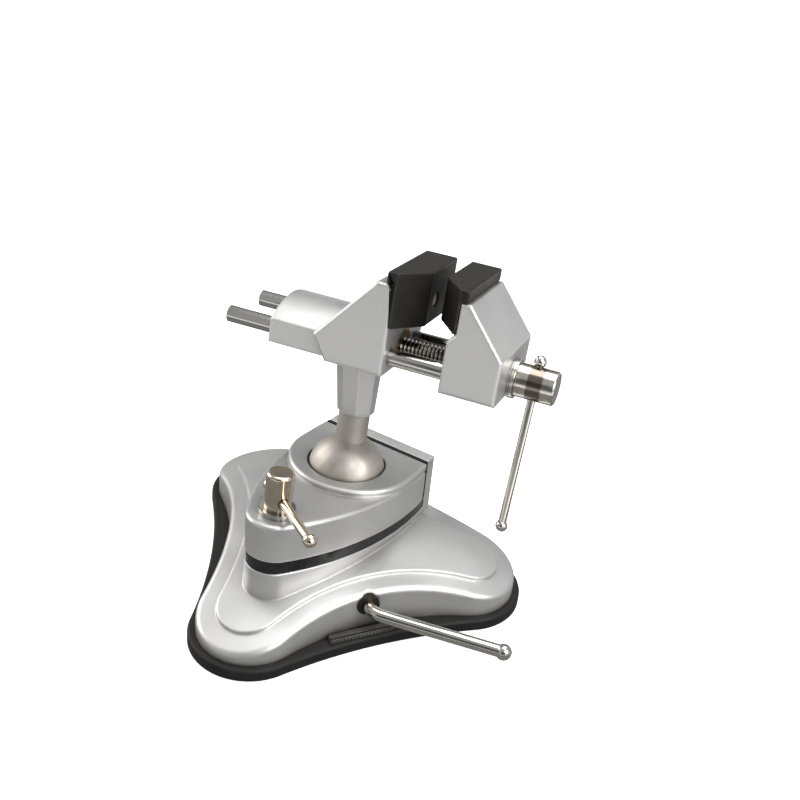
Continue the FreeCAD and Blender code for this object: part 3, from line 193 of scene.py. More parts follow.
def new_group(name, inputs, outputs):
    """An empty shader node group with named sockets."""
    tree = bpy.data.node_groups.new(name, "ShaderNodeTree")
    for label, kind, value in inputs:
        socket = tree.interface.new_socket(label, in_out="INPUT", socket_type=kind)
        socket.default_value = value
    for label, kind in outputs:
        tree.interface.new_socket(label, in_out="OUTPUT", socket_type=kind)
    return tree, tree.nodes.new("NodeGroupInput"), tree.nodes.new("NodeGroupOutput")


def feed(tree, socket, value):
    """Link another node's socket to this one, or set it to a value."""
    if isinstance(value, bpy.types.NodeSocket):
        tree.links.new(value, socket)
    else:
        socket.default_value = value


def add(tree, kind, **settings):
    """A node with its settings; a key that is a socket's name or number feeds that socket."""
    node = tree.nodes.new("ShaderNode" + kind)
    for key, value in settings.items():
        if hasattr(node, key) and key not in node.inputs:
            setattr(node, key, value)
            continue
        socket = node.inputs[int(key[1:])] if key[0] == "_" else node.inputs[key.replace("_", " ")]
        feed(tree, socket, value)
    return node


def mixed(tree, factor, low, high):
    """Linear mix of two colours."""
    node = tree.nodes.new("ShaderNodeMix")
    node.data_type = "RGBA"
    for socket, value in ((node.inputs[0], factor), (node.inputs[6], low), (node.inputs[7], high)):
        feed(tree, socket, value)
    return node.outputs[2]


def ramp(tree, value, low, high, start=0.0, end=1.0):
    """A number moved from one range to another and held inside it."""
    node = add(tree, "MapRange", Value=value, From_Min=low, From_Max=high, To_Min=start, To_Max=end)
    return node.outputs["Result"]


def maths(tree, action, first, second):
    """Two numbers put together."""
    return add(tree, "Math", operation=action, _0=first, _1=second).outputs[0]


def make_edge_group():
    """Edge mask: how far the softened normal leans from the true one, with a torn border."""
    tree, come, go = new_group(
        "WornEdges",
        [("Radius", "NodeSocketFloat", 0.0009), ("Scale", "NodeSocketFloat", 900.0)],
        [("Mask", "NodeSocketFloat"), ("Normal", "NodeSocketVector")],
    )
    soft = add(tree, "Bevel", samples=4, Radius=come.outputs["Radius"])
    plain = add(tree, "NewGeometry")
    dot = add(tree, "VectorMath", operation="DOT_PRODUCT", _0=soft.outputs[0], _1=plain.outputs["Normal"])
    lean = maths(tree, "SUBTRACT", 1.0, dot.outputs["Value"])
    place = add(tree, "TexCoord")
    noise = add(tree, "TexNoise", Vector=place.outputs["Object"], Scale=come.outputs["Scale"], Detail=3.0)
    torn = maths(tree, "MULTIPLY", lean, ramp(tree, noise.outputs["Fac"], 0.3, 0.7, 0.5, 1.5))
    tree.links.new(ramp(tree, torn, 0.02, 0.14), go.inputs["Mask"])
    tree.links.new(soft.outputs[0], go.inputs["Normal"])


def make_grain_group():
    """Fine surface grain: a height and a slow mottle, both from noise in the piece's own space."""
    tree, come, go = new_group(
        "SurfaceGrain",
        [("Fine", "NodeSocketFloat", 2500.0), ("Slow", "NodeSocketFloat", 60.0)],
        [("Height", "NodeSocketFloat"), ("Mottle", "NodeSocketFloat")],
    )
    place = add(tree, "TexCoord")
    fine = add(tree, "TexNoise", Vector=place.outputs["Object"], Scale=come.outputs["Fine"], Detail=2.0)
    slow = add(tree, "TexNoise", Vector=place.outputs["Object"], Scale=come.outputs["Slow"], Detail=4.0)
    tree.links.new(fine.outputs["Fac"], go.inputs["Height"])
    tree.links.new(ramp(tree, slow.outputs["Fac"], 0.3, 0.7), go.inputs["Mottle"])


def make_crease_shade_group():
    """Painted shade mask: strong where nearby surfaces shade a point, broken up by noise."""
    tree, come, go = new_group(
        "CreaseShade",
        [("Reach", "NodeSocketFloat", 0.006), ("Amount", "NodeSocketFloat", 0.6)],
        [("Mask", "NodeSocketFloat")],
    )
    shade = add(tree, "AmbientOcclusion", samples=6, Distance=come.outputs["Reach"])
    place = add(tree, "TexCoord")
    noise = add(tree, "TexNoise", Vector=place.outputs["Object"], Scale=220.0, Detail=5.0)
    deep = ramp(tree, shade.outputs["AO"], 0.85, 0.30)
    broken = maths(tree, "MULTIPLY", deep, ramp(tree, noise.outputs["Fac"], 0.25, 0.65, 0.35, 1.0))
    tree.links.new(maths(tree, "MULTIPLY", broken, come.outputs["Amount"]), go.inputs["Mask"])


def make_scratch_group():
    """Fine scratches: stretched noise along one direction, as a height and a mask."""
    tree, come, go = new_group(
        "FineScratches",
        [("Stretch", "NodeSocketVector", (300.0, 300.0, 9000.0))],
        [("Height", "NodeSocketFloat"), ("Mask", "NodeSocketFloat")],
    )
    place = add(tree, "TexCoord")
    scaled = add(tree, "VectorMath", operation="MULTIPLY", _0=place.outputs["Object"],
                 _1=come.outputs["Stretch"])
    noise = add(tree, "TexNoise", Vector=scaled.outputs[0], Scale=1.0, Detail=3.0)
    tree.links.new(noise.outputs["Fac"], go.inputs["Height"])
    tree.links.new(ramp(tree, noise.outputs["Fac"], 0.58, 0.72), go.inputs["Mask"])


def make_thread_group():
    """Screw thread: a ridge that climbs one pitch a turn, and a point's distance along the axis."""
    tree, come, go = new_group(
        "ScrewThread",
        [("Place", "NodeSocketVector", (0.0, 0.0, 0.0)), ("Along", "NodeSocketVector", (1.0, 0.0, 0.0)),
         ("Side", "NodeSocketVector", (0.0, 1.0, 0.0)), ("Up", "NodeSocketVector", (0.0, 0.0, 1.0)),
         ("Pitch", "NodeSocketFloat", 0.0015)],
        [("Ridge", "NodeSocketFloat"), ("Distance", "NodeSocketFloat")],
    )
    place = add(tree, "TexCoord")
    moved = add(tree, "VectorMath", operation="SUBTRACT", _0=place.outputs["Object"],
                _1=come.outputs["Place"])
    dots = [
        add(tree, "VectorMath", operation="DOT_PRODUCT", _0=moved.outputs[0], _1=come.outputs[way])
        for way in ("Along", "Side", "Up")
    ]
    parts = [dot.outputs["Value"] for dot in dots]
    turn = maths(tree, "DIVIDE", maths(tree, "ARCTAN2", parts[2], parts[1]), TURN)
    turns = maths(tree, "SUBTRACT", maths(tree, "DIVIDE", parts[0], come.outputs["Pitch"]), turn)
    ridge = maths(tree, "PINGPONG", turns, 0.5)
    tree.links.new(maths(tree, "MULTIPLY", ridge, 2.0), go.inputs["Ridge"])
    tree.links.new(parts[0], go.inputs["Distance"])


def place_group(tree, name, **settings):
    """A shared group placed in a material with its own values."""
    node = tree.nodes.new("ShaderNodeGroup")
    node.node_tree = bpy.data.node_groups[name]
    for key, value in settings.items():
        node.inputs[key].default_value = value
    return node


# Materials


def start_material(name):
    """Node tree and shader of a new material."""
    made = bpy.data.materials.new(name)
    made.use_nodes = True
    made.node_tree.nodes.clear()
    tree = made.node_tree
    shader = tree.nodes.new("ShaderNodeBsdfPrincipled")
    out = tree.nodes.new("ShaderNodeOutputMaterial")
    tree.links.new(shader.outputs[0], out.inputs[0])
    return tree, shader


def rgba(colour, gain):
    """A colour made lighter or darker, with full opacity."""
    return (colour[0] * gain, colour[1] * gain, colour[2] * gain, 1.0)


def set_bump(tree, shader, height, strength, depth, normal=None):
    """Feed the shader's normal from a height, over a softened normal if there is one."""
    bump = add(tree, "Bump", Strength=strength, Distance=depth, Height=height)
    if normal is not None:
        tree.links.new(normal, bump.inputs["Normal"])
    tree.links.new(bump.outputs[0], shader.inputs["Normal"])


def set_rough(tree, shader, grain, low, high):
    """Feed the shader's roughness from the slow mottle."""
    tree.links.new(ramp(tree, grain.outputs["Mottle"], 0.0, 1.0, low, high), shader.inputs["Roughness"])


def between(tree, value, low, high, soft):
    """One between two numbers and zero outside, with soft borders."""
    return maths(tree, "MULTIPLY", ramp(tree, value, low, low + soft), ramp(tree, value, high, high - soft))


def cast_metal(name, colour, soft):
    """Satin silver casting: fine orange peel, soft bright edges, painted shade in the corners."""
    tree, shader = start_material(name)
    grain = place_group(tree, "SurfaceGrain", Fine=1500.0, Slow=45.0)
    edge = place_group(tree, "WornEdges", Radius=soft, Scale=900.0)
    crease_shade = place_group(tree, "CreaseShade", Reach=0.007, Amount=0.75)
    base = mixed(tree, grain.outputs["Mottle"], rgba(colour, 0.95), rgba(colour, 1.04))
    worn = mixed(tree, edge.outputs["Mask"], base, rgba(colour, 1.45))
    # Painted shade: the colour is darkened where nearby surfaces shade the casting
    crease_shaded = mixed(tree, crease_shade.outputs["Mask"], worn, CAST_CREASE_SHADE)
    tree.links.new(crease_shaded, shader.inputs["Base Color"])
    shader.inputs["Metallic"].default_value = 0.80
    set_rough(tree, shader, grain, 0.33, 0.42)
    set_bump(tree, shader, grain.outputs["Height"], 0.10, 0.0002, edge.outputs["Normal"])


def bright_metal(name, colour, rough, stretch):
    """Polished or plated metal with fine turning marks, a few duller patches and painted shade in its
    crevices.
    """
    tree, shader = start_material(name)
    lines = place_group(tree, "FineScratches", Stretch=stretch)
    grain = place_group(tree, "SurfaceGrain", Fine=4000.0, Slow=150.0)
    crease_shade = place_group(tree, "CreaseShade", Reach=0.003, Amount=0.6)
    base = mixed(tree, grain.outputs["Mottle"], rgba(colour, 0.94), rgba(colour, 1.05))
    marked = mixed(tree, maths(tree, "MULTIPLY", lines.outputs["Mask"], 0.25), base, rgba(colour, 0.6))
    # Painted shade: the colour is darkened where nearby surfaces shade the metal
    crease_shaded = mixed(tree, crease_shade.outputs["Mask"], marked, CREASE_SHADE_COLOUR)
    tree.links.new(crease_shaded, shader.inputs["Base Color"])
    shader.inputs["Metallic"].default_value = 1.0
    set_rough(tree, shader, grain, rough, rough * 1.6)
    set_bump(tree, shader, lines.outputs["Height"], 0.05, 0.0001)


def threaded_metal(name, colour, rough, frame_ways, pitch, end, band):
    """Plated metal with a thread up to a distance, painted shade in the thread's valleys and crevices, and
    a browned band round its head.
    """
    tree, shader = start_material(name)
    place, along, side, up = frame_ways
    thread = place_group(tree, "ScrewThread", Place=place, Along=along, Side=side, Up=up, Pitch=pitch)
    grain = place_group(tree, "SurfaceGrain", Fine=4000.0, Slow=260.0)
    crease_shade = place_group(tree, "CreaseShade", Reach=0.003, Amount=0.8)
    far = thread.outputs["Distance"]
    inside = between(tree, far, THREAD_START, end, 0.0002)
    ridge = maths(tree, "MULTIPLY", thread.outputs["Ridge"], inside)
    base = mixed(tree, grain.outputs["Mottle"], rgba(colour, 0.90), rgba(colour, 1.06))
    # Painted shade in the thread's valleys: darker where the ridge is low
    low = maths(tree, "MULTIPLY", inside, ramp(tree, thread.outputs["Ridge"], 0.55, 0.15))
    valley_shaded = mixed(tree, low, base, VALLEY_SHADE_COLOUR)
    brown = maths(tree, "MULTIPLY", between(tree, far, *band, 0.0006), 0.75)
    browned = mixed(tree, brown, valley_shaded, BAND_COLOUR)
    # Painted shade where nearby surfaces shade the screw
    crease_shaded = mixed(tree, crease_shade.outputs["Mask"], browned, THREAD_CREASE_SHADE)
    tree.links.new(crease_shaded, shader.inputs["Base Color"])
    shader.inputs["Metallic"].default_value = 1.0
    set_rough(tree, shader, grain, rough, rough * 1.7)
    set_bump(tree, shader, ridge, 0.3, 0.0002)


def rubber(name, colour, rough, fine, dust):
    """Black rubber: fine pebbling, a slow mottle, and pale dust on the edges."""
    tree, shader = start_material(name)
    grain = place_group(tree, "SurfaceGrain", Fine=fine, Slow=90.0)
    edge = place_group(tree, "WornEdges", Radius=0.0006, Scale=1400.0)
    base = mixed(tree, grain.outputs["Mottle"], rgba(colour, 0.8), rgba(colour, 1.4))
    worn = mixed(tree, maths(tree, "MULTIPLY", edge.outputs["Mask"], dust), base, DUST_COLOUR)
    tree.links.new(worn, shader.inputs["Base Color"])
    set_rough(tree, shader, grain, rough, rough + 0.15)
    shader.inputs["Specular IOR Level"].default_value = 0.24
    set_bump(tree, shader, grain.outputs["Height"], 0.25, 0.0003, edge.outputs["Normal"])


def gloss_black(name, rough):
    """Glossy black moulding with faint swirls."""
    tree, shader = start_material(name)
    grain = place_group(tree, "SurfaceGrain", Fine=700.0, Slow=120.0)
    base = mixed(tree, grain.outputs["Mottle"], (0.006, 0.006, 0.006, 1), (0.016, 0.016, 0.017, 1))
    tree.links.new(base, shader.inputs["Base Color"])
    set_rough(tree, shader, grain, rough, rough + 0.12)
    shader.inputs["Specular IOR Level"].default_value = 0.30
    set_bump(tree, shader, grain.outputs["Height"], 0.05, 0.0002)


NODE_FINISH = {
    "base_casting": "CastSilver", "clamp_plate": "CastSilver",
    "fixed_jaw": "CastSilver", "movable_jaw": "CastSilver",
    "suction_pad": "FootRubber", "socket_gasket": "GasketBlack",
    "fixed_jaw_pad": "GripRubber", "movable_jaw_pad": "GripRubber",
    "ball_stud": "BallSatin", "ball_seat": "CupBlack",
    "clamp_insert": "Brass", "jaw_nut": "Brass", "shaft_bush": "DullBrass",
    "guide_rods": "BrightRod", "lead_screw": "LeadThread", "clamp_screw": "ClampThread",
    "suction_lever": "PlatedBar", "lever_knob": "PlatedBar", "clamp_bar": "WarmBar",
    "clamp_bar_knob": "WarmBar", "tommy_bar": "PlatedBar", "tommy_knob": "PlatedBar",
    "clamp_washer": "WasherSteel", "thrust_washer": "WasherSteel", "screw_clip": "WasherSteel",
    "shaft_clip": "WasherSteel", "fixed_pad_screw": "WasherSteel", "movable_pad_screw": "WasherSteel",
    "lifting_cam": "PlainSteel", "cam_pin": "PlainSteel", "pull_yoke": "PlainSteel",
    "pull_plate": "PlainSteel", "stem_grub": "PlainSteel", "rod_grubs": "PlainSteel",
}


def dress(obj, finish):
    """Give every slot of a piece one finish."""
    made = bpy.data.materials[finish]
    if not obj.material_slots:
        obj.data.materials.append(made)
    for held in obj.material_slots:
        held.material = made


# Surfaces


def lay_surface(name, points):
    """A mesh from a grid of points: each row closes on itself, and the end rows are capped."""
    rows, columns = points.shape[:2]
    numbers = np.arange(rows * columns).reshape(rows, columns)
    looped = np.hstack([numbers, numbers[:, :1]])
    quads = np.stack([looped[:-1, :-1], looped[:-1, 1:], looped[1:, 1:], looped[1:, :-1]], axis=-1)
    caps = [numbers[0, ::-1].tolist(), numbers[-1].tolist()]
    mesh = bpy.data.meshes.new(name)
    mesh.from_pydata(points.reshape(-1, 3).tolist(), [], quads.reshape(-1, 4).tolist() + caps)
    mesh.update()
    mesh.polygons.foreach_set("use_smooth", np.arange(len(mesh.polygons)) < len(mesh.polygons) - 2)
    made = bpy.data.objects.new(name, mesh)
    bpy.context.scene.collection.objects.link(made)
    return made


def arc(cx, cy, radius, start, end, count):
    """Points along an arc, its end left out."""
    turn = start + (end - start) * np.arange(count) / count
    return np.stack([cx + radius * np.cos(turn), cy + radius * np.sin(turn)], axis=1)


def lobed_outline():
    """The foot's outline: each lobe arc is followed by the hollow arc tangent to it and the next."""
    centres = np.array(LOBE_CENTRES)
    hollows = (FLANK, BACK, FLANK)
    sides = []
    for i in range(3):
        a, b = centres[i], centres[(i + 1) % 3]
        half = np.hypot(*(b - a)) / 2
        step = math.sqrt((hollows[i] + LOBE) ** 2 - half ** 2) / (2 * half)
        sides.append((a + b) / 2 + np.array([b[1] - a[1], a[0] - b[0]]) * step)
    runs = []
    for i in range(3):
        here, after = centres[i], centres[(i + 1) % 3]
        old, new = sides[(i + 2) % 3], sides[i]
        start = math.atan2(old[1] - here[1], old[0] - here[0])
        end = math.atan2(new[1] - here[1], new[0] - here[0])
        runs.append(arc(*here, LOBE, start, start + (end - start) % TURN, ARC_POINTS))
        start = math.atan2(here[1] - new[1], here[0] - new[0])
        end = math.atan2(after[1] - new[1], after[0] - new[0])
        runs.append(arc(*new, hollows[i], start, start - (start - end) % TURN, ARC_POINTS))
    return np.vstack(runs)


def inward(path):
    """Unit vectors across a closed path, towards its left, which is its inside."""
    run = np.roll(path, -1, axis=0) - np.roll(path, 1, axis=0)
    run /= np.linalg.norm(run, axis=1)[:, None]
    return np.stack([-run[:, 1], run[:, 0]], axis=1)


def carried(path, profile):
    """A grid: at each step of the profile, the path moved inwards by the inset, at the height."""
    ways = inward(path)
    flat = path[None] + ways[None] * profile[:, 0, None, None]
    height = np.broadcast_to(profile[:, 1, None, None], flat.shape[:2] + (1,))
    return np.concatenate([flat, height], axis=2)


def soft_wall(low, high, radius, foot, steps):
    """Profile of a wall from its foot to a rounded top edge: inset and height."""
    turn = np.linspace(0, math.pi / 2, steps)
    crest = np.stack([radius * (1 - np.cos(turn)), high - radius * (1 - np.sin(turn))], axis=1)
    return np.vstack([[(foot, low), (0.0, low + foot)], crest])


def round_box(width, depth, radius):
    """Closed path round a box centred on zero, its corners rounded, counterclockwise."""
    runs = []
    for k, (sx, sy) in enumerate(((1, -1), (1, 1), (-1, 1), (-1, -1))):
        turn = -math.pi / 2 + k * math.pi / 2 + np.linspace(0, math.pi / 2, CORNER_POINTS)
        runs.append(np.stack([sx * (width / 2 - radius) + radius * np.cos(turn),
                              sy * (depth / 2 - radius) + radius * np.sin(turn)], axis=1))
    return np.vstack(runs)


def evenly(path, step):
    """The closed path laid out again with points at most one step apart."""
    ring = np.vstack([path, path[:1]])
    far = np.concatenate([[0], np.cumsum(np.linalg.norm(np.diff(ring, axis=0), axis=1))])
    spots = np.unique(np.concatenate([far, np.arange(0, far[-1], step)]))[:-1]
    spots = spots[np.concatenate([[True], np.diff(spots) > step * 0.05])]
    return np.stack([np.interp(spots, far, ring[:, 0]), np.interp(spots, far, ring[:, 1])], axis=1)


def into_head(x, y, z):
    """Head coordinates in millimetres as points of the row frame."""
    spots = x[..., None] * ROD_WAY + y[..., None] * BACK_WAY + z[..., None] * NECK_WAY
    return BALL + spots * MM


def soft_corners(corners, radius):
    """A closed path with each corner cut by a quadratic curve that starts a radius away from it."""
    corners = np.array(corners, float)
    before, after = np.roll(corners, 1, axis=0) - corners, np.roll(corners, -1, axis=0) - corners
    start = corners + before / np.linalg.norm(before, axis=1)[:, None] * radius
    end = corners + after / np.linalg.norm(after, axis=1)[:, None] * radius
    t = np.linspace(0, 1, CORNER_POINTS)[None, :, None]
    curves = (1 - t) ** 2 * start[:, None] + 2 * t * (1 - t) * corners[:, None] + t ** 2 * end[:, None]
    return curves.reshape(-1, 2)


def soft_pad(radius, face, grip, shelf, low, side):
    """A jaw pad: the L profile in the rods' plane, carried across the jaws from end to end.

    The ends draw in by the rounding, the grip side comes back along the front bevel, and a round
    pocket for the screw's head is pressed into the grip side.
    """
    corners = [(face, low), (grip, low), (grip, PAD_TOP), (shelf, PAD_TOP), (shelf, JAW_TOP),
               (face, JAW_TOP)]
    path = evenly(soft_corners(corners[::side], radius), PAD_STEP)
    turn = np.linspace(0, math.pi / 2, END_STATIONS)
    ends = radius * (1 - np.sin(turn))
    stations = np.concatenate([
        -JAW_HALF + radius * (1 - np.cos(turn)),
        np.linspace(-JAW_HALF + radius, JAW_HALF - radius, PAD_STATIONS)[1:-1],
        JAW_HALF - radius * (1 - np.cos(turn[::-1])),
    ])
    shrink = np.concatenate([ends, np.zeros(PAD_STATIONS - 2), ends[::-1]])
    flat = path[None] + inward(path)[None] * shrink[:, None, None]
    x, z = flat[..., 0], flat[..., 1]
    y = np.broadcast_to(stations[:, None], x.shape)
    bevel = np.clip((-JAW_HALF + BEVEL_WIDE - y) / BEVEL_WIDE, 0, 1) * BEVEL_THICK
    reach = np.clip((x - face) / (grip - face), 0, 1)
    near = np.hypot(y, z - PAD_SCREW_HIGH)
    pocket = np.clip((POCKET_ROUND - near) / POCKET_EDGE, 0, 1) * POCKET_DEEP
    x = x - side * bevel * reach - side * pocket * (reach > 0.9)
    return into_head(x[::-1], y[::-1], z[::-1])


class VISE_OT_finishes(bpy.types.Operator):
    """Make the shared node groups and every finish."""

    bl_idname = "vise.finishes"
    bl_label = "Finishes"

    def execute(self, context):
        colours, sizes = context.scene.vise_colours, context.scene.vise_sizes
        make_edge_group()
        make_grain_group()
        make_crease_shade_group()
        make_scratch_group()
        make_thread_group()
        cast_metal("CastSilver", colours.cast, sizes.edge_soft)
        bright_metal("PlatedBar", colours.chrome, 0.09, (400.0, 400.0, 400.0))
        bright_metal("WarmBar", colours.nickel, 0.10, (400.0, 400.0, 400.0))
        threaded_metal("LeadThread", colours.chrome, 0.13, (SCREW_PLACE, ROD_WAY, BACK_WAY, NECK_WAY),
                       sizes.thread_pitch, LEAD_THREAD_END, LEAD_BAND)
        threaded_metal("ClampThread", colours.nickel, 0.12, (CLAMP_PLACE, CLAMP_WAY, CLAMP_SIDE, CLAMP_UP),
                       CLAMP_PITCH, CLAMP_THREAD_END, CLAMP_BAND)
        bright_metal("BrightRod", colours.steel, 0.09, (300.0, 300.0, 300.0))
        bright_metal("WasherSteel", colours.steel, 0.22, (900.0, 900.0, 300.0))
        bright_metal("PlainSteel", (0.42, 0.41, 0.39), 0.35, (900.0, 300.0, 300.0))
        bright_metal("BallSatin", colours.ball, 0.42, (300.0, 300.0, 2500.0))
        bright_metal("Brass", (0.40, 0.29, 0.14), 0.25, (900.0, 900.0, 300.0))
        bright_metal("DullBrass", (0.055, 0.048, 0.04), 0.40, (900.0, 900.0, 300.0))
        rubber("FootRubber", colours.rubber, 0.45, 1800.0, 0.25)
        rubber("TabRubber", (0.055, 0.052, 0.050), 0.50, 1800.0, 0.5)
        rubber("GripRubber", colours.grip, 0.38, 1200.0, 0.5)
        gloss_black("GasketBlack", 0.10)
        gloss_black("CupBlack", 0.35)
        return {"FINISHED"}


class VISE_OT_nodes(bpy.types.Operator):
    """Give every solid its finish."""

    bl_idname = "vise.nodes"
    bl_label = "Solids"

    def execute(self, context):
        for name, node in frame["nodes"].items():
            dress(node, NODE_FINISH[name])
        return {"FINISHED"}


class VISE_OT_foot(bpy.types.Operator):
    """Rubber foot: a lobed plate with a rounded rim and a ribbed release tab.

    The rim's rounded profile is carried along the lobed outline, then runs level to the round
    well. The tab carries its own profile along a box whose front is pressed in by a cosine wave.
    """

    bl_idname = "vise.foot"
    bl_label = "Rubber foot"

    def execute(self, context):
        sizes = context.scene.vise_sizes
        path = lobed_outline()
        outer = carried(path, soft_wall(0.0, FOOT_HIGH, sizes.rim_round / MM, FOOT_EDGE, 8))
        turn = np.arctan2(path[:, 1], path[:, 0])
        ring = np.stack([np.cos(turn), np.sin(turn)], axis=1)
        inner = [
            np.concatenate([ring * radius, np.full((len(ring), 1), height)], axis=1)
            for radius, height in ((WELL, FOOT_HIGH), (WELL, FOOT_SKIN), (WELL_CAP, FOOT_SKIN))
        ]
        foot = np.concatenate([outer, np.stack(inner)], axis=0)
        box = evenly(round_box(TAB_DEEP, TAB_LONG, TAB_ROUND), TAB_STEP)
        wave = 0.5 - 0.5 * np.cos(TURN * sizes.tab_ribs * (box[:, 1] / TAB_LONG + 0.5))
        front = np.clip((box[:, 0] - RIB_FROM) / RIB_BLEND, 0, 1)
        box = box + inward(box) * (wave * front * sizes.tab_rib_deep / MM)[:, None]
        tab = carried(box, soft_wall(TAB_LOW, TAB_HIGH, TAB_ROUND, TAB_EDGE, 5))
        lean = math.radians(TAB_LEAN)
        x, y = tab[..., 0] + TAB_OUT, tab[..., 1] + TAB_ALONG
        tab[..., 0] = x * math.cos(lean) - y * math.sin(lean)
        tab[..., 1] = x * math.sin(lean) + y * math.cos(lean)
        for name, shell, finish in (("FootSkin", foot, "FootRubber"), ("TabSkin", tab, "TabRubber")):
            made = lay_surface(name, shell * MM)
            dress(made, finish)
            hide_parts("suction_pad")
            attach(made, "base")
        return {"FINISHED"}


class VISE_OT_grips(bpy.types.Operator):
    """Rubber jaw pads with soft edges, a front bevel and a pocket round the screw."""

    bl_idname = "vise.grips"
    bl_label = "Jaw pads"

    def execute(self, context):
        soft = context.scene.vise_sizes.pad_soft / MM
        for name, node, rider, profile in (
            ("FixedGrip", "fixed_jaw_pad", "head", FIXED_PAD),
            ("MovingGrip", "movable_jaw_pad", "moving_jaw", MOVING_PAD),
        ):
            made = lay_surface(name, soft_pad(soft, **profile))
            dress(made, "GripRubber")
            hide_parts(node)
            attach(made, rider)
        return {"FINISHED"}


class VISE_OT_screw(bpy.types.Operator):
    """Lead screw: a turned surface whose radius falls and rises once a pitch along a helix.

    Radius is a function of the distance along the axis and the turn round it: the plain
    radius less the thread's depth times a triangle wave of distance over pitch less turn.
    """

    bl_idname = "vise.screw"
    bl_label = "Lead screw"

    def execute(self, context):
        sizes = context.scene.vise_sizes
        turn = np.arange(LEAD_SIDES) * TURN / LEAD_SIDES
        along = np.arange(LEAD_TIP, LEAD_PLAIN, LEAD_STEP)
        phase = along[:, None] / (sizes.thread_pitch / MM) - turn[None] / TURN
        wave = np.abs((phase % 1.0) * 2 - 1)
        cut = np.clip(THREAD_STEEP * wave - THREAD_FLAT, 0, 1) * sizes.thread_depth / MM
        taper = np.clip(1 - (along - LEAD_TIP) / LEAD_TAPER, 0, 1)[:, None] * LEAD_TAPER_DEEP
        steps = np.array(LEAD_HEAD)
        head = np.repeat(steps[:, 1:], LEAD_SIDES, axis=1)
        radius = np.vstack([LEAD_ROUND - np.maximum(cut, taper), head])
        far = np.broadcast_to(np.concatenate([along, steps[:, 0]])[:, None], radius.shape)
        way = np.cos(turn)[None, :, None] * BACK_WAY + np.sin(turn)[None, :, None] * NECK_WAY
        spots = far[..., None] * ROD_WAY + radius[..., None] * way
        made = lay_surface("LeadSkin", SCREW_PLACE + spots * MM)
        made.data.set_sharp_from_angle(angle=math.radians(SHARP_TURN))
        dress(made, "LeadThread")
        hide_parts("lead_screw")
        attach(made, "drive_screw")
        return {"FINISHED"}


# Stage


def camera_matrix(azimuth, elevation, roll, distance, target):
    """Camera place from two turns, a roll and a distance behind its target."""
    a, e, r = (math.radians(angle) for angle in (azimuth, elevation, roll))
    back = Vector((math.sin(a) * math.cos(e), -math.cos(a) * math.cos(e), math.sin(e)))
    level = Vector((math.cos(a), math.sin(a), 0.0))
    steep = back.cross(level)
    right = math.cos(r) * level + math.sin(r) * steep
    up = -math.sin(r) * level + math.cos(r) * steep
    turn = Matrix((right, up, back)).transposed().to_4x4()
    return Matrix.Translation(Vector(target) + back * distance) @ turn


PHOTO_SIDE = 800.0
FOCAL_PIXELS = 1169.4
SENSOR = 36.0
CAMERA_TURNS = (29.30, 31.10, 6.11)
CAMERA_DISTANCE, CAMERA_TARGET = 0.43329, (0.01636, 0.00762, 0.07989)
FLOOR_HALF, FLOOR_LOW = 6.0, -0.0002
PALE = (0.86, 0.86, 0.86, 1)
WHITE = (1, 1, 1, 1)
LOOK_AT = (0, 0, 0.06)


def aimed(name, data, place, aim):
    """A new object at a place, turned to look at another."""
    made = bpy.data.objects.new(name, data)
    made.location = place
    made.rotation_euler = (Vector(aim) - Vector(place)).to_track_quat("-Z", "Y").to_euler()
    bpy.context.scene.collection.objects.link(made)
    return made


def flat_sheet(name, x, y):
    """A level rectangle, from its half sides."""
    mesh = bpy.data.meshes.new(name)
    mesh.from_pydata([(-x, -y, 0), (x, -y, 0), (x, y, 0), (-x, y, 0)], [], [(0, 1, 2, 3)])
    return mesh


def soft_lamp(name, place, aim, width, power, colour):
    """A square lamp that looks at a place."""
    lamp = bpy.data.lights.new(name, "AREA")
    lamp.energy = power
    lamp.size = width
    lamp.color = colour
    aimed(name, lamp, place, aim)


def dark_card(name, place, aim, width, height, level):
    """A card that only reflections see, for the dark bands in bright metal."""
    mesh = flat_sheet(name, width / 2, height / 2)
    made = aimed(name, mesh, place, aim)
    card = bpy.data.materials.new(name)
    card.use_nodes = True
    card.node_tree.nodes.clear()
    glow = add(card.node_tree, "Emission", Color=(level, level, level, 1), Strength=1.0)
    add(card.node_tree, "OutputMaterial", Surface=glow.outputs[0])
    mesh.materials.append(card)
    made.visible_camera = made.visible_diffuse = made.visible_shadow = made.visible_transmission = False


def set_camera(scene):
    """The camera at the photo's place, with the photo's own view angle."""
    view = bpy.data.cameras.new("Camera")
    view.lens = FOCAL_PIXELS / PHOTO_SIDE * SENSOR
    view.sensor_width = SENSOR
    view.clip_start = 0.01
    camera = bpy.data.objects.new("Camera", view)
    camera.matrix_world = camera_matrix(*CAMERA_TURNS, CAMERA_DISTANCE, CAMERA_TARGET)
    scene.collection.objects.link(camera)
    scene.camera = camera


def lay_floor(scene):
    """A pale floor that keeps the shadow and looks white round it."""
    floor = bpy.data.objects.new("Floor", flat_sheet("Floor", FLOOR_HALF, FLOOR_HALF))
    scene.collection.objects.link(floor)
    floor.location.z = FLOOR_LOW
    tree, shader = start_material("PaleFloor")
    shader.inputs["Base Color"].default_value = PALE
    shader.inputs["Roughness"].default_value = 0.9
    glow = add(tree, "Emission", Color=WHITE, Strength=0.66)
    path = add(tree, "LightPath")
    seen = add(tree, "MixShader", _0=path.outputs["Is Camera Ray"], _1=shader.outputs[0])
    both = add(tree, "AddShader", _0=shader.outputs[0], _1=glow.outputs[0])
    tree.links.new(both.outputs[0], seen.inputs[2])
    out = [node for node in tree.nodes if node.type == "OUTPUT_MATERIAL"][0]
    tree.links.new(seen.outputs[0], out.inputs[0])
    floor.data.materials.append(bpy.data.materials["PaleFloor"])


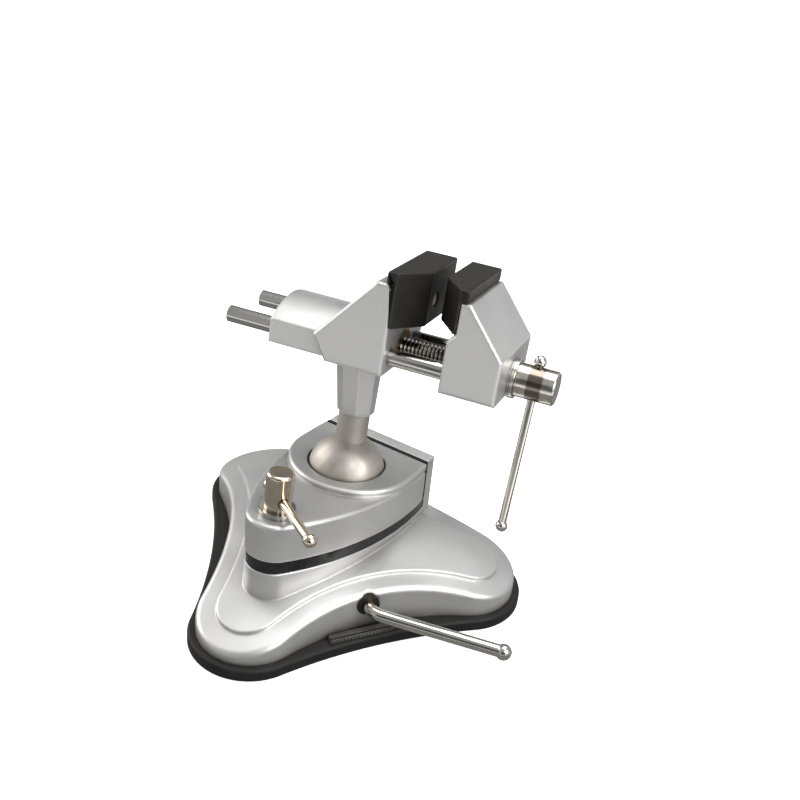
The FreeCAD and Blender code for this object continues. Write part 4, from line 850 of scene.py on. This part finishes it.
def light_surroundings(scene):
    """Surroundings that look white and give a plain soft light."""
    world = bpy.data.worlds.new("Surroundings")
    scene.world = world
    world.use_nodes = True
    sky = world.node_tree
    sky.nodes.clear()
    light = add(sky, "Background", Color=(0.97, 0.98, 1.0, 1), Strength=0.46)
    white = add(sky, "Background", Color=WHITE, Strength=1.0)
    path = add(sky, "LightPath")
    seen = add(sky, "MixShader", _0=path.outputs["Is Camera Ray"], _1=light.outputs[0],
               _2=white.outputs[0])
    add(sky, "OutputWorld", Surface=seen.outputs[0])


class VISE_OT_stage(bpy.types.Operator):
    """Camera, lamps, pale floor and white surroundings."""

    bl_idname = "vise.stage"
    bl_label = "Stage"

    def execute(self, context):
        scene = context.scene
        set_camera(scene)
        lay_floor(scene)
        light_surroundings(scene)
        soft_lamp("KeyLamp", (0.85, -0.20, 0.65), LOOK_AT, 0.7, 10.5, (1.0, 0.99, 0.97))
        soft_lamp("FillLamp", (-0.8, -0.15, 0.40), LOOK_AT, 0.6, 4.5, (1.0, 0.97, 0.92))
        soft_lamp("TopLamp", (0.0, 0.25, 1.0), (0, 0, 0.05), 0.8, 8.5, (1.0, 1.0, 1.0))
        dark_card("DarkFront", (0.40, -1.05, 0.50), LOOK_AT, 1.1, 0.75, 0.11)
        dark_card("DarkLow", (-0.75, -0.85, 0.16), LOOK_AT, 0.45, 0.30, 0.03)
        dark_card("DarkFloor", (0.02, 0.03, -0.0001), (0.02, 0.03, -1.0), 0.62, 0.62, 0.26)
        dark_card("DarkBack", (-0.35, 1.0, 0.45), LOOK_AT, 0.9, 0.35, 0.10)
        scene.view_settings.view_transform = "Standard"
        return {"FINISHED"}


class VISE_PT_panel(bpy.types.Panel):
    """The vise's making, step by step."""

    bl_label = "Vise"
    bl_idname = "VISE_PT_panel"
    bl_space_type = "VIEW_3D"
    bl_region_type = "UI"
    bl_category = "Vise"

    def draw(self, context):
        for group in (context.scene.vise_sizes, context.scene.vise_colours):
            for name in group.__annotations__:
                self.layout.prop(group, name)
        for operator in OPERATORS:
            self.layout.operator(operator.bl_idname)


OPERATORS = (VISE_OT_finishes, VISE_OT_nodes, VISE_OT_foot, VISE_OT_grips, VISE_OT_screw, VISE_OT_stage)
CLASSES = (ViseSizes, ViseColours, *OPERATORS, VISE_PT_panel)


def register():
    """Register the classes and hang the properties on the scene."""
    for made in CLASSES:
        bpy.utils.register_class(made)
    bpy.types.Scene.vise_sizes = PointerProperty(type=ViseSizes)
    bpy.types.Scene.vise_colours = PointerProperty(type=ViseColours)


def unregister():
    """Take all of it away again."""
    del bpy.types.Scene.vise_colours
    del bpy.types.Scene.vise_sizes
    for made in reversed(CLASSES):
        bpy.utils.unregister_class(made)


def main():
    """Make everything in order."""
    register()
    for operator in OPERATORS:
        group, name = operator.bl_idname.split(".")
        getattr(getattr(bpy.ops, group), name)()


if __name__ == "__main__":
    main()
